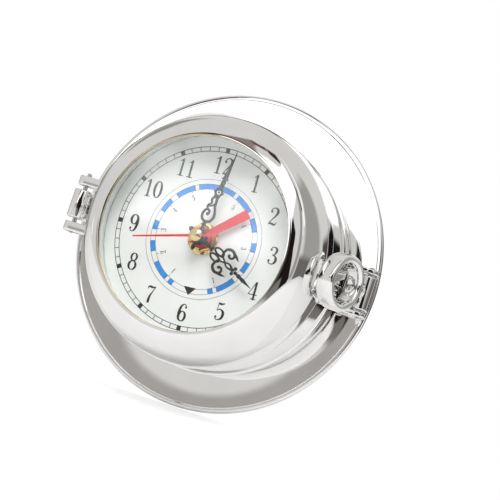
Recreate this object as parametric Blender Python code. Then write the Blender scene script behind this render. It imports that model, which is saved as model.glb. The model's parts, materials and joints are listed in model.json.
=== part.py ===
"""A ship's deck clock of the porthole kind: a chromed case with a wall flange, a hinged and glazed bezel
held by a dog with a hoop nut, and a battery quartz movement that drives time and tide hands.

Frame: X towards 3 o'clock, Z towards 12 o'clock and Y into the wall. The origin is the middle of the back
plate's rear face, so that the clock's front looks along -Y. Lengths in this file are millimetres, and the
meshes are written in metres.
"""

import math

import bmesh
import bpy
from mathutils import Matrix, Vector

MM = 0.001
TURN = 2 * math.pi
GAP = 0.3  # between pieces that touch on the real clock

# Case and flange, as radius and as depth y in front of the wall
FLANGE_R = 72.5
FLANGE_LIP = 3.0
FLANGE_FACE = -2.2
FLANGE_FRONT = -3.0
NECK_R = 54.2
NECK_FRONT = -17.7
SPIGOT_R = 49.8
SPIGOT_FRONT = -33.0
CAVITY_R = 47.0
LEDGE_R = 44.5
DIAL_SEAT = -32.0
BACK_LEDGE_R = 42.0
BACK_PLATE_R = 48.0
BACK_PLATE_THICK = 2.0
BACK_SCREW_R = 45.0

# Bezel
BEZEL_REAR = -18.0
BEZEL_REAR_R = 55.0
BEZEL_SIDE_END = -26.0
BEZEL_SIDE_R = 56.0
BEZEL_FRONT = -49.0
BEZEL_MOUTH_R = 43.5
BEZEL_BORE_R = 51.0
GLASS_R = 46.0
GLASS_FRONT = -47.2
GLASS_REAR = -45.6

# Dial and the wall that stands round it
DIAL_R = 46.6
DIAL_FRONT = -32.9
DIAL_THICK = 0.6
WALL_REAR_R = 46.5
WALL_FRONT_R = 43.3
WALL_FRONT = -45.2

# Hinge at 9 o'clock
HINGE_X = -67.5
HINGE_Y = -20.0
HINGE_PIN_R = 1.05
KNUCKLE_R = 4.2
KNUCKLE_HALF = 6.5
HINGE_HOLLOW_R = 6.0
LUG_R = 3.8
LUG_INNER = 8.6
LUG_OUTER = 12.9

# Dog at 3 o'clock: a bolt that swings on a pin, with a hoop nut on its thread
DOG_X = 69.5
DOG_Y = -8.0
DOG_LEAN = math.radians(17.0)
DOG_PIN_R = 1.05
EAR_R = 3.8
EAR_INNER = 8.6
EAR_OUTER = 10.8
BARREL_R = 3.6
BARREL_HALF = 7.7
BOLT_R = 1.6
BOLT_END = 9.4
HOOP_CENTRE = 20.0  # from the pivot, along the bolt
HOOP_R = 12.6
HOOP_HOLE_R = 8.75
HOOP_HALF_THICK = 4.25

# Movement
SHELL_HALF = 28.0
SHELL_WALL = 1.2
SHELL_FRONT = -31.1
SHELL_SPLIT = -22.0
SHELL_REAR = -13.0
BUSH_R = 4.0
BUSH_FRONT = -35.4
BATTERY_R = 7.1
BATTERY_LENGTH = 49.5
BATTERY_Y = -22.0
BATTERY_Z = -19.3

# Gears: the first level lies behind the front shell, and each next one lies a step behind it
GEAR_THICK = 0.8
LEVEL_STEP = 1.2
FIRST_LEVEL = -29.5
ARBOR_R = 0.5

# The dial, and the hands with it, stand turned by this much from the line of the hinge and the dog.
DIAL_TURN_DEG = -3.3

# Hand tubes, as outer radii; each has a wall of TUBE_WALL, and a running gap to the next
TUBE_WALL = 0.5
MINUTE_TUBE_R = 1.3
HOUR_TUBE_R = 2.1
TIDE_TUBE_R = 2.9

SMOOTH = 40  # sides of a large turned piece
SMALL = 16  # sides of a small turned piece


# ---------------------------------------------------------------- materials


def material(name, colour, roughness, metallic=0.0, alpha=1.0):
    made = bpy.data.materials.new(name)
    made.use_nodes = True
    shader = made.node_tree.nodes["Principled BSDF"]
    shader.inputs["Base Color"].default_value = (*colour, 1.0)
    shader.inputs["Roughness"].default_value = roughness
    shader.inputs["Metallic"].default_value = metallic
    shader.inputs["Alpha"].default_value = alpha
    made.diffuse_color = (*colour, alpha)
    return made


# ---------------------------------------------------------------- shapes


def clock_point(angle_deg, radius):
    """(x, z) at an angle clockwise from 12 o'clock, seen from the front."""
    angle = math.radians(angle_deg)
    return radius * math.sin(angle), radius * math.cos(angle)


def turned(profile, sides=SMOOTH, centre=(0.0, 0.0)):
    """A profile of (radius, y) points turned about the Y axis through centre (x, z)."""
    mesh = bmesh.new()
    corners = [mesh.verts.new((radius, y, 0.0)) for radius, y in profile]
    ends = list(zip(corners, corners[1:]))
    if profile[0][0] > 0 or profile[-1][0] > 0:
        ends.append((corners[-1], corners[0]))
    edges = [mesh.edges.new(pair) for pair in ends]
    bmesh.ops.spin(
        mesh,
        geom=corners + edges,
        cent=(0, 0, 0),
        axis=(0, 1, 0),
        angle=TURN,
        steps=sides,
        use_merge=True,
    )
    bmesh.ops.remove_doubles(mesh, verts=mesh.verts, dist=1e-4)
    bmesh.ops.recalc_face_normals(mesh, faces=mesh.faces)
    bmesh.ops.translate(mesh, vec=(centre[0], 0.0, centre[1]), verts=mesh.verts)
    return mesh


def rod(radius, front, rear, centre=(0.0, 0.0), sides=SMALL):
    """A solid cylinder along Y."""
    return turned([(0, rear), (radius, rear), (radius, front), (0, front)], sides, centre)


def tube(inner, outer, front, rear, sides=SMALL, centre=(0.0, 0.0)):
    """A hollow cylinder along Y."""
    return turned([(inner, rear), (outer, rear), (outer, front), (inner, front)], sides, centre)


def upright(mesh, x, y):
    """Turns a mesh made along Y about the origin so that it stands along Z at (x, y)."""
    bmesh.ops.rotate(mesh, cent=(0, 0, 0), matrix=Matrix.Rotation(math.pi / 2, 3, "X"), verts=mesh.verts)
    bmesh.ops.translate(mesh, vec=(x, y, 0), verts=mesh.verts)
    return mesh


def lengthwise(mesh, y, z):
    """Turns a mesh made along Y about the origin so that it lies along X at (y, z)."""
    bmesh.ops.rotate(mesh, cent=(0, 0, 0), matrix=Matrix.Rotation(math.pi / 2, 3, "Z"), verts=mesh.verts)
    bmesh.ops.translate(mesh, vec=(0, y, z), verts=mesh.verts)
    return mesh


def block(low, high):
    """A box between two corners."""
    mesh = bmesh.new()
    bmesh.ops.create_cube(mesh, size=1.0)
    size = [h - l for l, h in zip(low, high)]
    middle = [(h + l) / 2 for l, h in zip(low, high)]
    bmesh.ops.scale(mesh, vec=size, verts=mesh.verts)
    bmesh.ops.translate(mesh, vec=middle, verts=mesh.verts)
    return mesh


def extruded(corners, depth):
    """A flat outline of 3-D corners pushed along depth."""
    mesh = bmesh.new()
    face = mesh.faces.new([mesh.verts.new(corner) for corner in corners])
    pushed = bmesh.ops.extrude_face_region(mesh, geom=[face])
    moved = [item for item in pushed["geom"] if isinstance(item, bmesh.types.BMVert)]
    bmesh.ops.translate(mesh, vec=depth, verts=moved)
    bmesh.ops.recalc_face_normals(mesh, faces=mesh.faces)
    return mesh


def plate(outline, front, rear):
    """An outline of (x, z) points made a plate between two depths."""
    return extruded([(x, rear, z) for x, z in outline], (0, front - rear, 0))


def slab(outline, low, high):
    """An outline of (x, y) points made a slab between two heights."""
    return extruded([(x, y, low) for x, y in outline], (0, 0, high - low))


def rounded_bar(pivot, radius, foot, steps=9):
    """An outline of (x, y) points: round about pivot, and straight to the two foot points."""
    towards = Vector(foot[0]) + Vector(foot[1]) - 2 * Vector(pivot)
    start = math.atan2(towards.y, towards.x) + math.pi / 2
    arc = [start + math.pi * step / (steps - 1) for step in range(steps)]
    round_end = [(pivot[0] + radius * math.cos(a), pivot[1] + radius * math.sin(a)) for a in arc]
    return round_end + list(foot)


# ---------------------------------------------------------------- gears


class Gear:
    """A toothed wheel at a point of the dial plane. Its phase is the clock angle of one tooth."""

    def __init__(self, teeth, pitch_r, centre, level, meshes_with=None):
        self.teeth = teeth
        self.pitch_r = pitch_r
        self.centre = centre
        self.front = FIRST_LEVEL + LEVEL_STEP * (level - 1)
        self.rear = self.front + GEAR_THICK
        self.phase = 0.0
        if meshes_with:
            self.phase = self.phase_against(meshes_with)

    def phase_against(self, other):
        """The phase that puts this gear's tooth in the other's gap on the line between their centres."""
        dx = self.centre[0] - other.centre[0]
        dz = self.centre[1] - other.centre[1]
        line = math.atan2(dx, dz)
        turned_by = other.teeth * (other.phase - line) / TURN
        return line + math.pi + TURN / self.teeth * (0.5 - turned_by)

    def mesh(self):
        module = 2 * self.pitch_r / self.teeth
        tip = self.pitch_r + 0.75 * module
        root = self.pitch_r - 0.95 * module
        pitch = TURN / self.teeth
        outline = []
        for tooth in range(self.teeth):
            middle = self.phase + tooth * pitch
            for offset, radius in ((-0.33, root), (0.0, tip), (0.33, root)):
                x, z = clock_point(math.degrees(middle + offset * pitch), radius)
                outline.append((self.centre[0] + x, self.centre[1] + z))
        return plate(outline, self.front, self.rear)


# ---------------------------------------------------------------- objects


def made(name, mesh, origin=(0, 0, 0), parent=None):
    """An object from a mesh in millimetres, with its origin at origin and its mesh moved to suit."""
    bmesh.ops.translate(mesh, vec=-Vector(origin), verts=mesh.verts)
    bmesh.ops.scale(mesh, vec=(MM, MM, MM), verts=mesh.verts)
    data = bpy.data.meshes.new(name)
    mesh.to_mesh(data)
    mesh.free()
    data.shade_smooth()
    data.set_sharp_from_angle(angle=math.radians(35))
    obj = bpy.data.objects.new(name, data)
    bpy.context.scene.collection.objects.link(obj)
    obj.parent = parent
    obj.location = Vector(origin) * MM
    return obj


def combine(obj, operation, mesh, label, origin=(0, 0, 0)):
    """Joins a mesh to an object, or cuts it away, with a Boolean and a hidden helper object."""
    helper = made(label, mesh, origin, obj.parent)
    helper.hide_render = True
    helper.display_type = "WIRE"
    helper.hide_set(True)
    boolean = obj.modifiers.new(label, "BOOLEAN")
    boolean.operation = operation
    boolean.solver = "EXACT"
    boolean.object = helper


def piece(name, mesh, finish, join=(), cut=(), origin=(0, 0, 0), parent=None):
    """A named piece: a mesh, with other meshes joined to it and then meshes cut from it."""
    obj = made(name, mesh, origin, parent)
    obj.data.materials.append(finish)
    for number, tool in enumerate(join):
        combine(obj, "UNION", tool, f"{name}_union_{number + 1}", origin)
    for number, tool in enumerate(cut):
        combine(obj, "DIFFERENCE", tool, f"{name}_difference_{number + 1}", origin)
    return obj


def pivot_empty(name, location, turn_z=0.0):
    empty = bpy.data.objects.new(name, None)
    bpy.context.scene.collection.objects.link(empty)
    empty.location = Vector(location) * MM
    empty.rotation_euler.z = turn_z
    bpy.context.view_layer.update()
    return empty


# ---------------------------------------------------------------- case


def screw_mesh(centre, head_r, head_front, head_rear, shank_r, tip):
    """A round-headed screw that points to -Y."""
    profile = [
        (0, head_rear),
        (head_r * 0.7, head_rear),
        (head_r, head_rear - 0.3),
        (head_r, head_front),
        (shank_r, head_front),
        (shank_r, tip + shank_r),
        (0, tip),
    ]
    return turned(profile, 12, centre)


def back_screw_places():
    return [clock_point(angle, BACK_SCREW_R) for angle in (0, 120, 240)]


def make_case(chrome):
    profile = [
        (BACK_PLATE_R + 0.4, 0),
        (FLANGE_R, 0),
        (FLANGE_R, FLANGE_FRONT + 0.7),
        (FLANGE_R - 0.7, FLANGE_FRONT),
        (FLANGE_R - FLANGE_LIP + 0.5, FLANGE_FRONT),
        (FLANGE_R - FLANGE_LIP, FLANGE_FACE),
        (NECK_R + 0.9, FLANGE_FACE),
        (NECK_R, FLANGE_FACE - 0.9),
        (NECK_R, NECK_FRONT),
        (SPIGOT_R, NECK_FRONT),
        (SPIGOT_R, SPIGOT_FRONT),
        (DIAL_R + 0.6, SPIGOT_FRONT),
        (DIAL_R + 0.6, DIAL_SEAT),
        (LEDGE_R, DIAL_SEAT),
        (LEDGE_R, DIAL_SEAT + 2.0),
        (CAVITY_R, DIAL_SEAT + 3.0),
        (CAVITY_R, NECK_FRONT + 1.0),
        (BEZEL_BORE_R - 0.5, NECK_FRONT + 3.5),
        (BEZEL_BORE_R - 0.5, -7.5),
        (BACK_LEDGE_R, -7.5),
        (BACK_LEDGE_R, -BACK_PLATE_THICK - GAP),
        (BACK_PLATE_R + 0.4, -BACK_PLATE_THICK - GAP),
    ]
    holes = [rod(1.3, -6.9, 0.5, place, 12) for place in back_screw_places()]
    piece("case_body", turned(profile), chrome, cut=holes)


def make_back_plate(brass, steel):
    keyhole_slot = block((-2.2, -4, 30), (2.2, 2, 38))
    cuts = [keyhole_slot, rod(2.2, -4, 2, (0, 38)), rod(4.5, -4, 2, (0, 29), 20)]
    for place in back_screw_places():
        cuts.append(rod(1.3, -4, 2, place, 12))
        cuts.append(rod(2.4, -1.2, 2, place, 12))
    piece("back_plate", rod(BACK_PLATE_R, -BACK_PLATE_THICK, 0, sides=SMOOTH), brass, cut=cuts)
    for number, place in enumerate(back_screw_places()):
        screw = screw_mesh(place, 2.0, -0.9, -0.2, 1.0, -6.5)
        piece(f"back_screw_{number + 1}", screw, steel)


def make_dial(white, silver):
    dial = tube(BUSH_R + GAP, DIAL_R, DIAL_FRONT, DIAL_FRONT + DIAL_THICK, SMOOTH)
    piece("dial", dial, white)
    wall = [
        (WALL_REAR_R, DIAL_FRONT - GAP),
        (SPIGOT_R - 0.4, DIAL_FRONT - GAP - 0.1),
        (SPIGOT_R - 0.4, DIAL_FRONT - 1.3),
        (WALL_REAR_R + 0.9, DIAL_FRONT - 1.6),
        (WALL_FRONT_R + 0.9, WALL_FRONT),
        (WALL_FRONT_R, WALL_FRONT),
    ]
    piece("dial_surround_ring", turned(wall), silver)


# ---------------------------------------------------------------- bezel and glass


def bezel_outside(grow=0.0):
    """The bezel's outer line from the rear edge to the mouth, as (radius, y), moved outwards by grow."""
    radial = BEZEL_SIDE_R - BEZEL_MOUTH_R + grow
    axial = BEZEL_SIDE_END - BEZEL_FRONT + grow
    line = [(BEZEL_REAR_R - 0.5 + grow, BEZEL_REAR), (BEZEL_REAR_R + grow, BEZEL_REAR - 0.5)]
    steps = 5
    for step in range(steps + 1):
        angle = math.pi / 2 * step / steps
        line.append((BEZEL_MOUTH_R + radial * math.cos(angle), BEZEL_SIDE_END - axial * math.sin(angle)))
    return line


def make_bezel(chrome, brass, rubber, glass):
    hinge = (HINGE_X, HINGE_Y, 0)
    inside = [
        (BEZEL_MOUTH_R, GLASS_FRONT - 1.0),
        (GLASS_R - 0.1, GLASS_FRONT - 1.0),
        (GLASS_R - 0.1, GLASS_FRONT - 0.1),
        (GLASS_R + 1.5, GLASS_FRONT - 0.1),
        (GLASS_R + 1.5, GLASS_REAR + 0.2),
        (GLASS_R + 2.3, GLASS_REAR + 0.2),
        (GLASS_R + 2.3, GLASS_REAR + 1.4),
        (GLASS_R + 2.6, GLASS_REAR + 1.4),
        (BEZEL_BORE_R - 0.6, -37.0),
        (BEZEL_BORE_R, BEZEL_REAR),
    ]
    piece("bezel", turned(bezel_outside() + inside), chrome, origin=hinge)
    rim = [
        (GLASS_R - 0.4, GLASS_FRONT - 0.2),
        (GLASS_R - 0.4, GLASS_FRONT - 0.8),
        (BEZEL_MOUTH_R - 0.4, GLASS_FRONT - 0.8),
        (BEZEL_MOUTH_R - 0.4, GLASS_FRONT - 0.2),
    ]
    piece("glass_seat_ring", turned(rim), brass, origin=hinge)
    piece("glass_lens", rod(GLASS_R, GLASS_FRONT, GLASS_REAR, sides=SMOOTH), glass, origin=hinge)
    gasket = tube(GLASS_R + GAP, GLASS_R + 1.2, GLASS_FRONT + 0.1, GLASS_REAR - 0.1, SMOOTH)
    piece("glass_gasket", gasket, rubber, origin=hinge)
    snap = tube(GLASS_R - 1.1, GLASS_R + 2.0, GLASS_REAR + GAP, GLASS_REAR + 1.1, SMOOTH)
    piece("glass_retaining_ring", snap, brass, origin=hinge)
    body = turned(bezel_outside(GAP) + [(10, BEZEL_FRONT - GAP), (10, BEZEL_REAR)])
    outline = rounded_bar((HINGE_X, HINGE_Y), LUG_R, [(-51, HINGE_Y - 4.4), (-51, BEZEL_REAR - 0.5)])
    for name, low in (("bezel_lug_upper", LUG_INNER), ("bezel_lug_lower", -LUG_OUTER)):
        lug = slab(outline, low, low + LUG_OUTER - LUG_INNER)
        hole = upright(rod(HINGE_PIN_R + GAP, -20, 20), HINGE_X, HINGE_Y)
        piece(name, lug, chrome, cut=[body.copy(), hole], origin=hinge)
    body.free()


def make_hinge(chrome, steel):
    neck = rod(NECK_R + GAP, -40, 10, sides=SMOOTH)
    # The web's front is a hollow curve, from the knuckle to the neck just behind the bezel's edge.
    hollow_x = (HINGE_X - NECK_R) / 2 + 2.0
    hollow_y = HINGE_Y - 2.3
    web = []
    for step in range(7):
        angle = math.radians(138 - 14.5 * step)
        across, back = HINGE_HOLLOW_R * math.cos(angle), HINGE_HOLLOW_R * math.sin(angle)
        web.append((hollow_x + across, hollow_y + back))
    web += [
        (-51.0, HINGE_Y + 2.4),
        (-51.0, HINGE_Y + 11.0),
        (-60.0, HINGE_Y + 8.0),
        (HINGE_X - 0.8, HINGE_Y + KNUCKLE_R - 0.1),
    ]
    half = KNUCKLE_HALF
    knuckle = upright(rod(KNUCKLE_R, -half, half, sides=24), HINGE_X, HINGE_Y)
    bore = upright(rod(HINGE_PIN_R + 0.25, -20, 20), HINGE_X, HINGE_Y)
    piece("hinge_bracket", knuckle, chrome, join=[slab(web, -half, half)], cut=[neck, bore])
    top = LUG_OUTER + 1.8
    bottom = -LUG_OUTER - 0.6
    profile = [
        (0, top),
        (0.75 * HINGE_PIN_R, top - 0.25),
        (HINGE_PIN_R, top - 0.8),
        (HINGE_PIN_R, bottom),
        (0, bottom),
    ]
    piece("hinge_pin", upright(turned(profile, 12), HINGE_X, HINGE_Y), steel)


# ---------------------------------------------------------------- dog


def make_dog(chrome, steel):
    neck = rod(NECK_R + GAP, -40, 10, sides=SMOOTH)
    ear = rounded_bar((DOG_X, DOG_Y), EAR_R, [(51, -3.5), (51, -16.2)])
    foot = block((51, -16.2, -EAR_OUTER), (57.5, -3.5, EAR_OUTER))
    lower = slab(ear, -EAR_OUTER, -EAR_INNER)
    upper = slab(ear, EAR_INNER, EAR_OUTER)
    bore = upright(rod(DOG_PIN_R + 0.25, -20, 20), DOG_X, DOG_Y)
    piece("dog_bracket", foot, chrome, join=[lower, upper], cut=[neck, bore])
    pin = upright(rod(DOG_PIN_R, -EAR_OUTER - 0.9, EAR_OUTER + 0.9, sides=12), DOG_X, DOG_Y)
    piece("dog_pivot_pin", pin, steel)

    # The bolt and its nut are made with the bolt along -Y from the pivot, and lean with their empty.
    dog = pivot_empty("dog_pivot", (DOG_X, DOG_Y, 0), -DOG_LEAN)
    barrel = upright(rod(BARREL_R, -BARREL_HALF, BARREL_HALF), 0, 0)
    shank = rod(BOLT_R, -BOLT_END, -1)
    bore = upright(rod(DOG_PIN_R + GAP, -20, 20, sides=12), 0, 0)
    piece("swing_bolt", barrel, chrome, join=[shank], cut=[bore], parent=dog)

    middle_r = (HOOP_R + HOOP_HOLE_R) / 2
    half_band = (HOOP_R - HOOP_HOLE_R) / 2
    section = []
    for step in range(12):
        angle = TURN * step / 12
        across, along = math.cos(angle), math.sin(angle)
        # The roots make the band a rounded square rather than an ellipse.
        wide = math.copysign(abs(across) ** 0.6, across)
        deep = math.copysign(abs(along) ** 0.6, along)
        section.append((middle_r + half_band * wide, HOOP_HALF_THICK * deep))
    hoop = turned(section, 32)
    bmesh.ops.rotate(hoop, cent=(0, 0, 0), matrix=Matrix.Rotation(math.pi / 2, 3, "Z"), verts=hoop.verts)
    bmesh.ops.translate(hoop, vec=(0, -HOOP_CENTRE, 0), verts=hoop.verts)
    boss = rod(3.2, -HOOP_CENTRE + middle_r, -4.2)
    thread = rod(BOLT_R + GAP, -BOLT_END - GAP, 0)
    centre = (0, -HOOP_CENTRE, 0)
    piece("hoop_nut", hoop, chrome, join=[boss], cut=[thread], origin=centre, parent=dog)


# ---------------------------------------------------------------- hands


def hand_outline(angle_deg, widths):
    """An outline of (x, z) points from (distance, half width) pairs along a hand at a clock angle."""
    right = [(half, along) for along, half in widths]
    left = [(-half, along) for along, half in reversed(widths)]
    angle = math.radians(angle_deg)
    turned_points = []
    for across, along in right + left:
        x = along * math.sin(angle) + across * math.cos(angle)
        z = along * math.cos(angle) - across * math.sin(angle)
        turned_points.append((x, z))
    return turned_points


def hand(name, finish, angle, widths, hub_r, bore_r, front, thick, hub_thick):
    blade = plate(hand_outline(angle + DIAL_TURN_DEG, widths), front, front + thick)
    hub = rod(hub_r, front, front + hub_thick, sides=20)
    bore = rod(bore_r, front - 5, front + 5)
    piece(name, hub, finish, join=[blade], cut=[bore])


def make_hands(black, red, brass):
    tide = [(0, 2.0), (6, 1.5), (23.5, 2.2)]
    hand("tide_hand", red, 51, tide, 4.6, TIDE_TUBE_R + 0.2, -36.4, 0.4, 0.9)
    hour = [
        (-6.0, 0.6), (-4.6, 1.3), (-3.2, 0.8), (0, 1.5), (6, 1.0), (9, 1.2), (11.5, 3.4), (14.5, 3.6),
        (17, 1.4), (19.5, 3.8), (23.5, 4.2), (26.5, 1.6), (29, 1.5), (31, 0.7), (33.4, 0.15),
    ]
    hand("hour_hand", black, 120, hour, 3.6, HOUR_TUBE_R + 0.2, -38.2, 0.4, 0.8)
    minute = [
        (-6.0, 0.5), (-4.6, 1.1), (-3.2, 0.7), (0, 1.3), (7, 0.9), (10, 2.0), (14, 2.2), (17.5, 0.9),
        (20, 2.1), (24, 2.0), (27, 0.8), (29, 1.5), (31.5, 1.3), (34, 0.6), (39.5, 0.15),
    ]
    hand("minute_hand", black, 10.5, minute, 2.8, MINUTE_TUBE_R + 0.2, -40.2, 0.4, 0.8)
    second = [(-9.0, 0.5), (-8.0, 0.9), (-6.6, 0.9), (-5.2, 0.5), (29.7, 0.3)]
    hand("second_hand", red, 257, second, 1.8, ARBOR_R + 0.2, -42.0, 0.3, 0.6)
    cap = [
        (0, -43.3), (0.9, -43.3), (0.9, -42.3), (2.85, -42.3), (2.85, -42.6),
        (1.9, -43.7), (0.8, -44.4), (0, -44.5),
    ]
    piece("second_hand_cap", turned(cap, 20), brass)


# ---------------------------------------------------------------- gear train


def make_gears(plastic, brass, magnet):
    centre = (0.0, 0.0)
    second_way = 7.56  # centre distances between meshing gears
    rotor_way = 6.48
    third_way = 10.2
    motion_way = 11.0
    tide_way = 11.2
    tide_knob_way = 17.0

    second_wheel = Gear(36, second_way * 36 / 42, centre, 8)
    second_pinion = Gear(6, third_way * 6 / 54, centre, 7)
    at_intermediate = clock_point(300, second_way)
    intermediate_pinion = Gear(6, second_way * 6 / 42, at_intermediate, 8, second_wheel)
    intermediate_wheel = Gear(30, rotor_way * 30 / 36, at_intermediate, 9)
    step_x, step_z = clock_point(280, rotor_way)
    at_rotor = (at_intermediate[0] + step_x, at_intermediate[1] + step_z)
    rotor_pinion = Gear(6, rotor_way * 6 / 36, at_rotor, 9, intermediate_wheel)
    at_third = clock_point(0, third_way)
    third_wheel = Gear(48, third_way * 48 / 54, at_third, 7, second_pinion)
    third_pinion = Gear(6, third_way * 6 / 51, at_third, 6)
    minute_wheel = Gear(45, third_way * 45 / 51, centre, 6, third_pinion)
    cannon = Gear(10, motion_way * 10 / 40, centre, 5)
    at_motion = clock_point(90, motion_way)
    motion_wheel = Gear(30, motion_way * 30 / 40, at_motion, 5, cannon)
    motion_pinion = Gear(8, motion_way * 8 / 40, at_motion, 4)
    hour_wheel = Gear(32, motion_way * 32 / 40, centre, 4, motion_pinion)
    at_knob = (at_motion[0] + motion_way, at_motion[1])
    knob_pinion = Gear(10, motion_way * 10 / 40, at_knob, 5, motion_wheel)
    hour_tide_wheel = Gear(57, tide_way * 57 / 69, centre, 3)
    at_idler = clock_point(250, tide_way)
    idler_front = Gear(12, tide_way * 12 / 71, at_idler, 2)
    idler_rear = Gear(12, tide_way * 12 / 69, at_idler, 3, hour_tide_wheel)
    tide_drive = Gear(59, tide_way * 59 / 71, centre, 2, idler_front)
    tide_wheel = Gear(24, tide_knob_way * 24 / 34, centre, 1)
    at_tide_knob = clock_point(43, tide_knob_way)
    tide_knob_pinion = Gear(10, tide_knob_way * 10 / 34, at_tide_knob, 1, tide_wheel)

    def arbor(at, front, rear, radius=ARBOR_R):
        return rod(radius, front, rear, at, 10)

    def pivoted(at):
        return (at[0], 0, at[1])

    magnet_body = rod(2.5, -18.7, -16.9, at_rotor)
    piece(
        "rotor",
        magnet_body,
        magnet,
        join=[rotor_pinion.mesh(), arbor(at_rotor, -20.2, -15.5)],
        origin=pivoted(at_rotor),
    )
    piece(
        "intermediate_wheel",
        intermediate_wheel.mesh(),
        plastic,
        join=[intermediate_pinion.mesh(), arbor(at_intermediate, -21.4, -15.5)],
        origin=pivoted(at_intermediate),
    )
    piece(
        "second_wheel",
        second_wheel.mesh(),
        plastic,
        join=[second_pinion.mesh(), arbor(centre, -43.0, -15.5)],
    )
    piece(
        "third_wheel",
        third_wheel.mesh(),
        plastic,
        join=[third_pinion.mesh(), arbor(at_third, -24.4, -15.5)],
        origin=pivoted(at_third),
    )
    piece("minute_wheel", minute_wheel.mesh(), plastic, cut=[arbor(centre, -30, -20, MINUTE_TUBE_R + 0.2)])
    piece(
        "minute_cannon",
        cannon.mesh(),
        brass,
        join=[rod(MINUTE_TUBE_R, -40.6, minute_wheel.rear)],
        cut=[rod(MINUTE_TUBE_R - TUBE_WALL, -45, -20)],
    )
    piece(
        "motion_wheel",
        motion_wheel.mesh(),
        plastic,
        join=[motion_pinion.mesh(), arbor(at_motion, motion_pinion.front - 0.2, -15.5)],
        origin=pivoted(at_motion),
    )
    piece(
        "hour_wheel",
        hour_wheel.mesh(),
        plastic,
        join=[hour_tide_wheel.mesh(), rod(HOUR_TUBE_R, -38.6, hour_wheel.rear)],
        cut=[rod(HOUR_TUBE_R - TUBE_WALL, -45, -20)],
    )
    piece(
        "tide_idler",
        idler_front.mesh(),
        plastic,
        join=[idler_rear.mesh(), arbor(at_idler, idler_front.front - 0.2, -20.0)],
        origin=pivoted(at_idler),
    )
    piece("tide_drive_wheel", tide_drive.mesh(), plastic, cut=[arbor(centre, -30, -20, HOUR_TUBE_R + GAP)])
    piece(
        "tide_wheel",
        tide_wheel.mesh(),
        plastic,
        join=[rod(TIDE_TUBE_R, -36.8, tide_wheel.rear)],
        cut=[rod(TIDE_TUBE_R - TUBE_WALL, -45, -20)],
    )
    knobs = [("time_set_knob", at_knob, knob_pinion), ("tide_set_knob", at_tide_knob, tide_knob_pinion)]
    for name, at, pinion in knobs:
        shaft = rod(1.0, pinion.front, -12.0, at, 12)
        grip = rod(4.0, -12.6, -10.6, at, 18)
        piece(name, pinion.mesh(), plastic, join=[shaft, grip], origin=pivoted(at))
    return at_knob, at_tide_knob, at_rotor, at_intermediate, at_third, at_motion


# ---------------------------------------------------------------- movement


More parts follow.
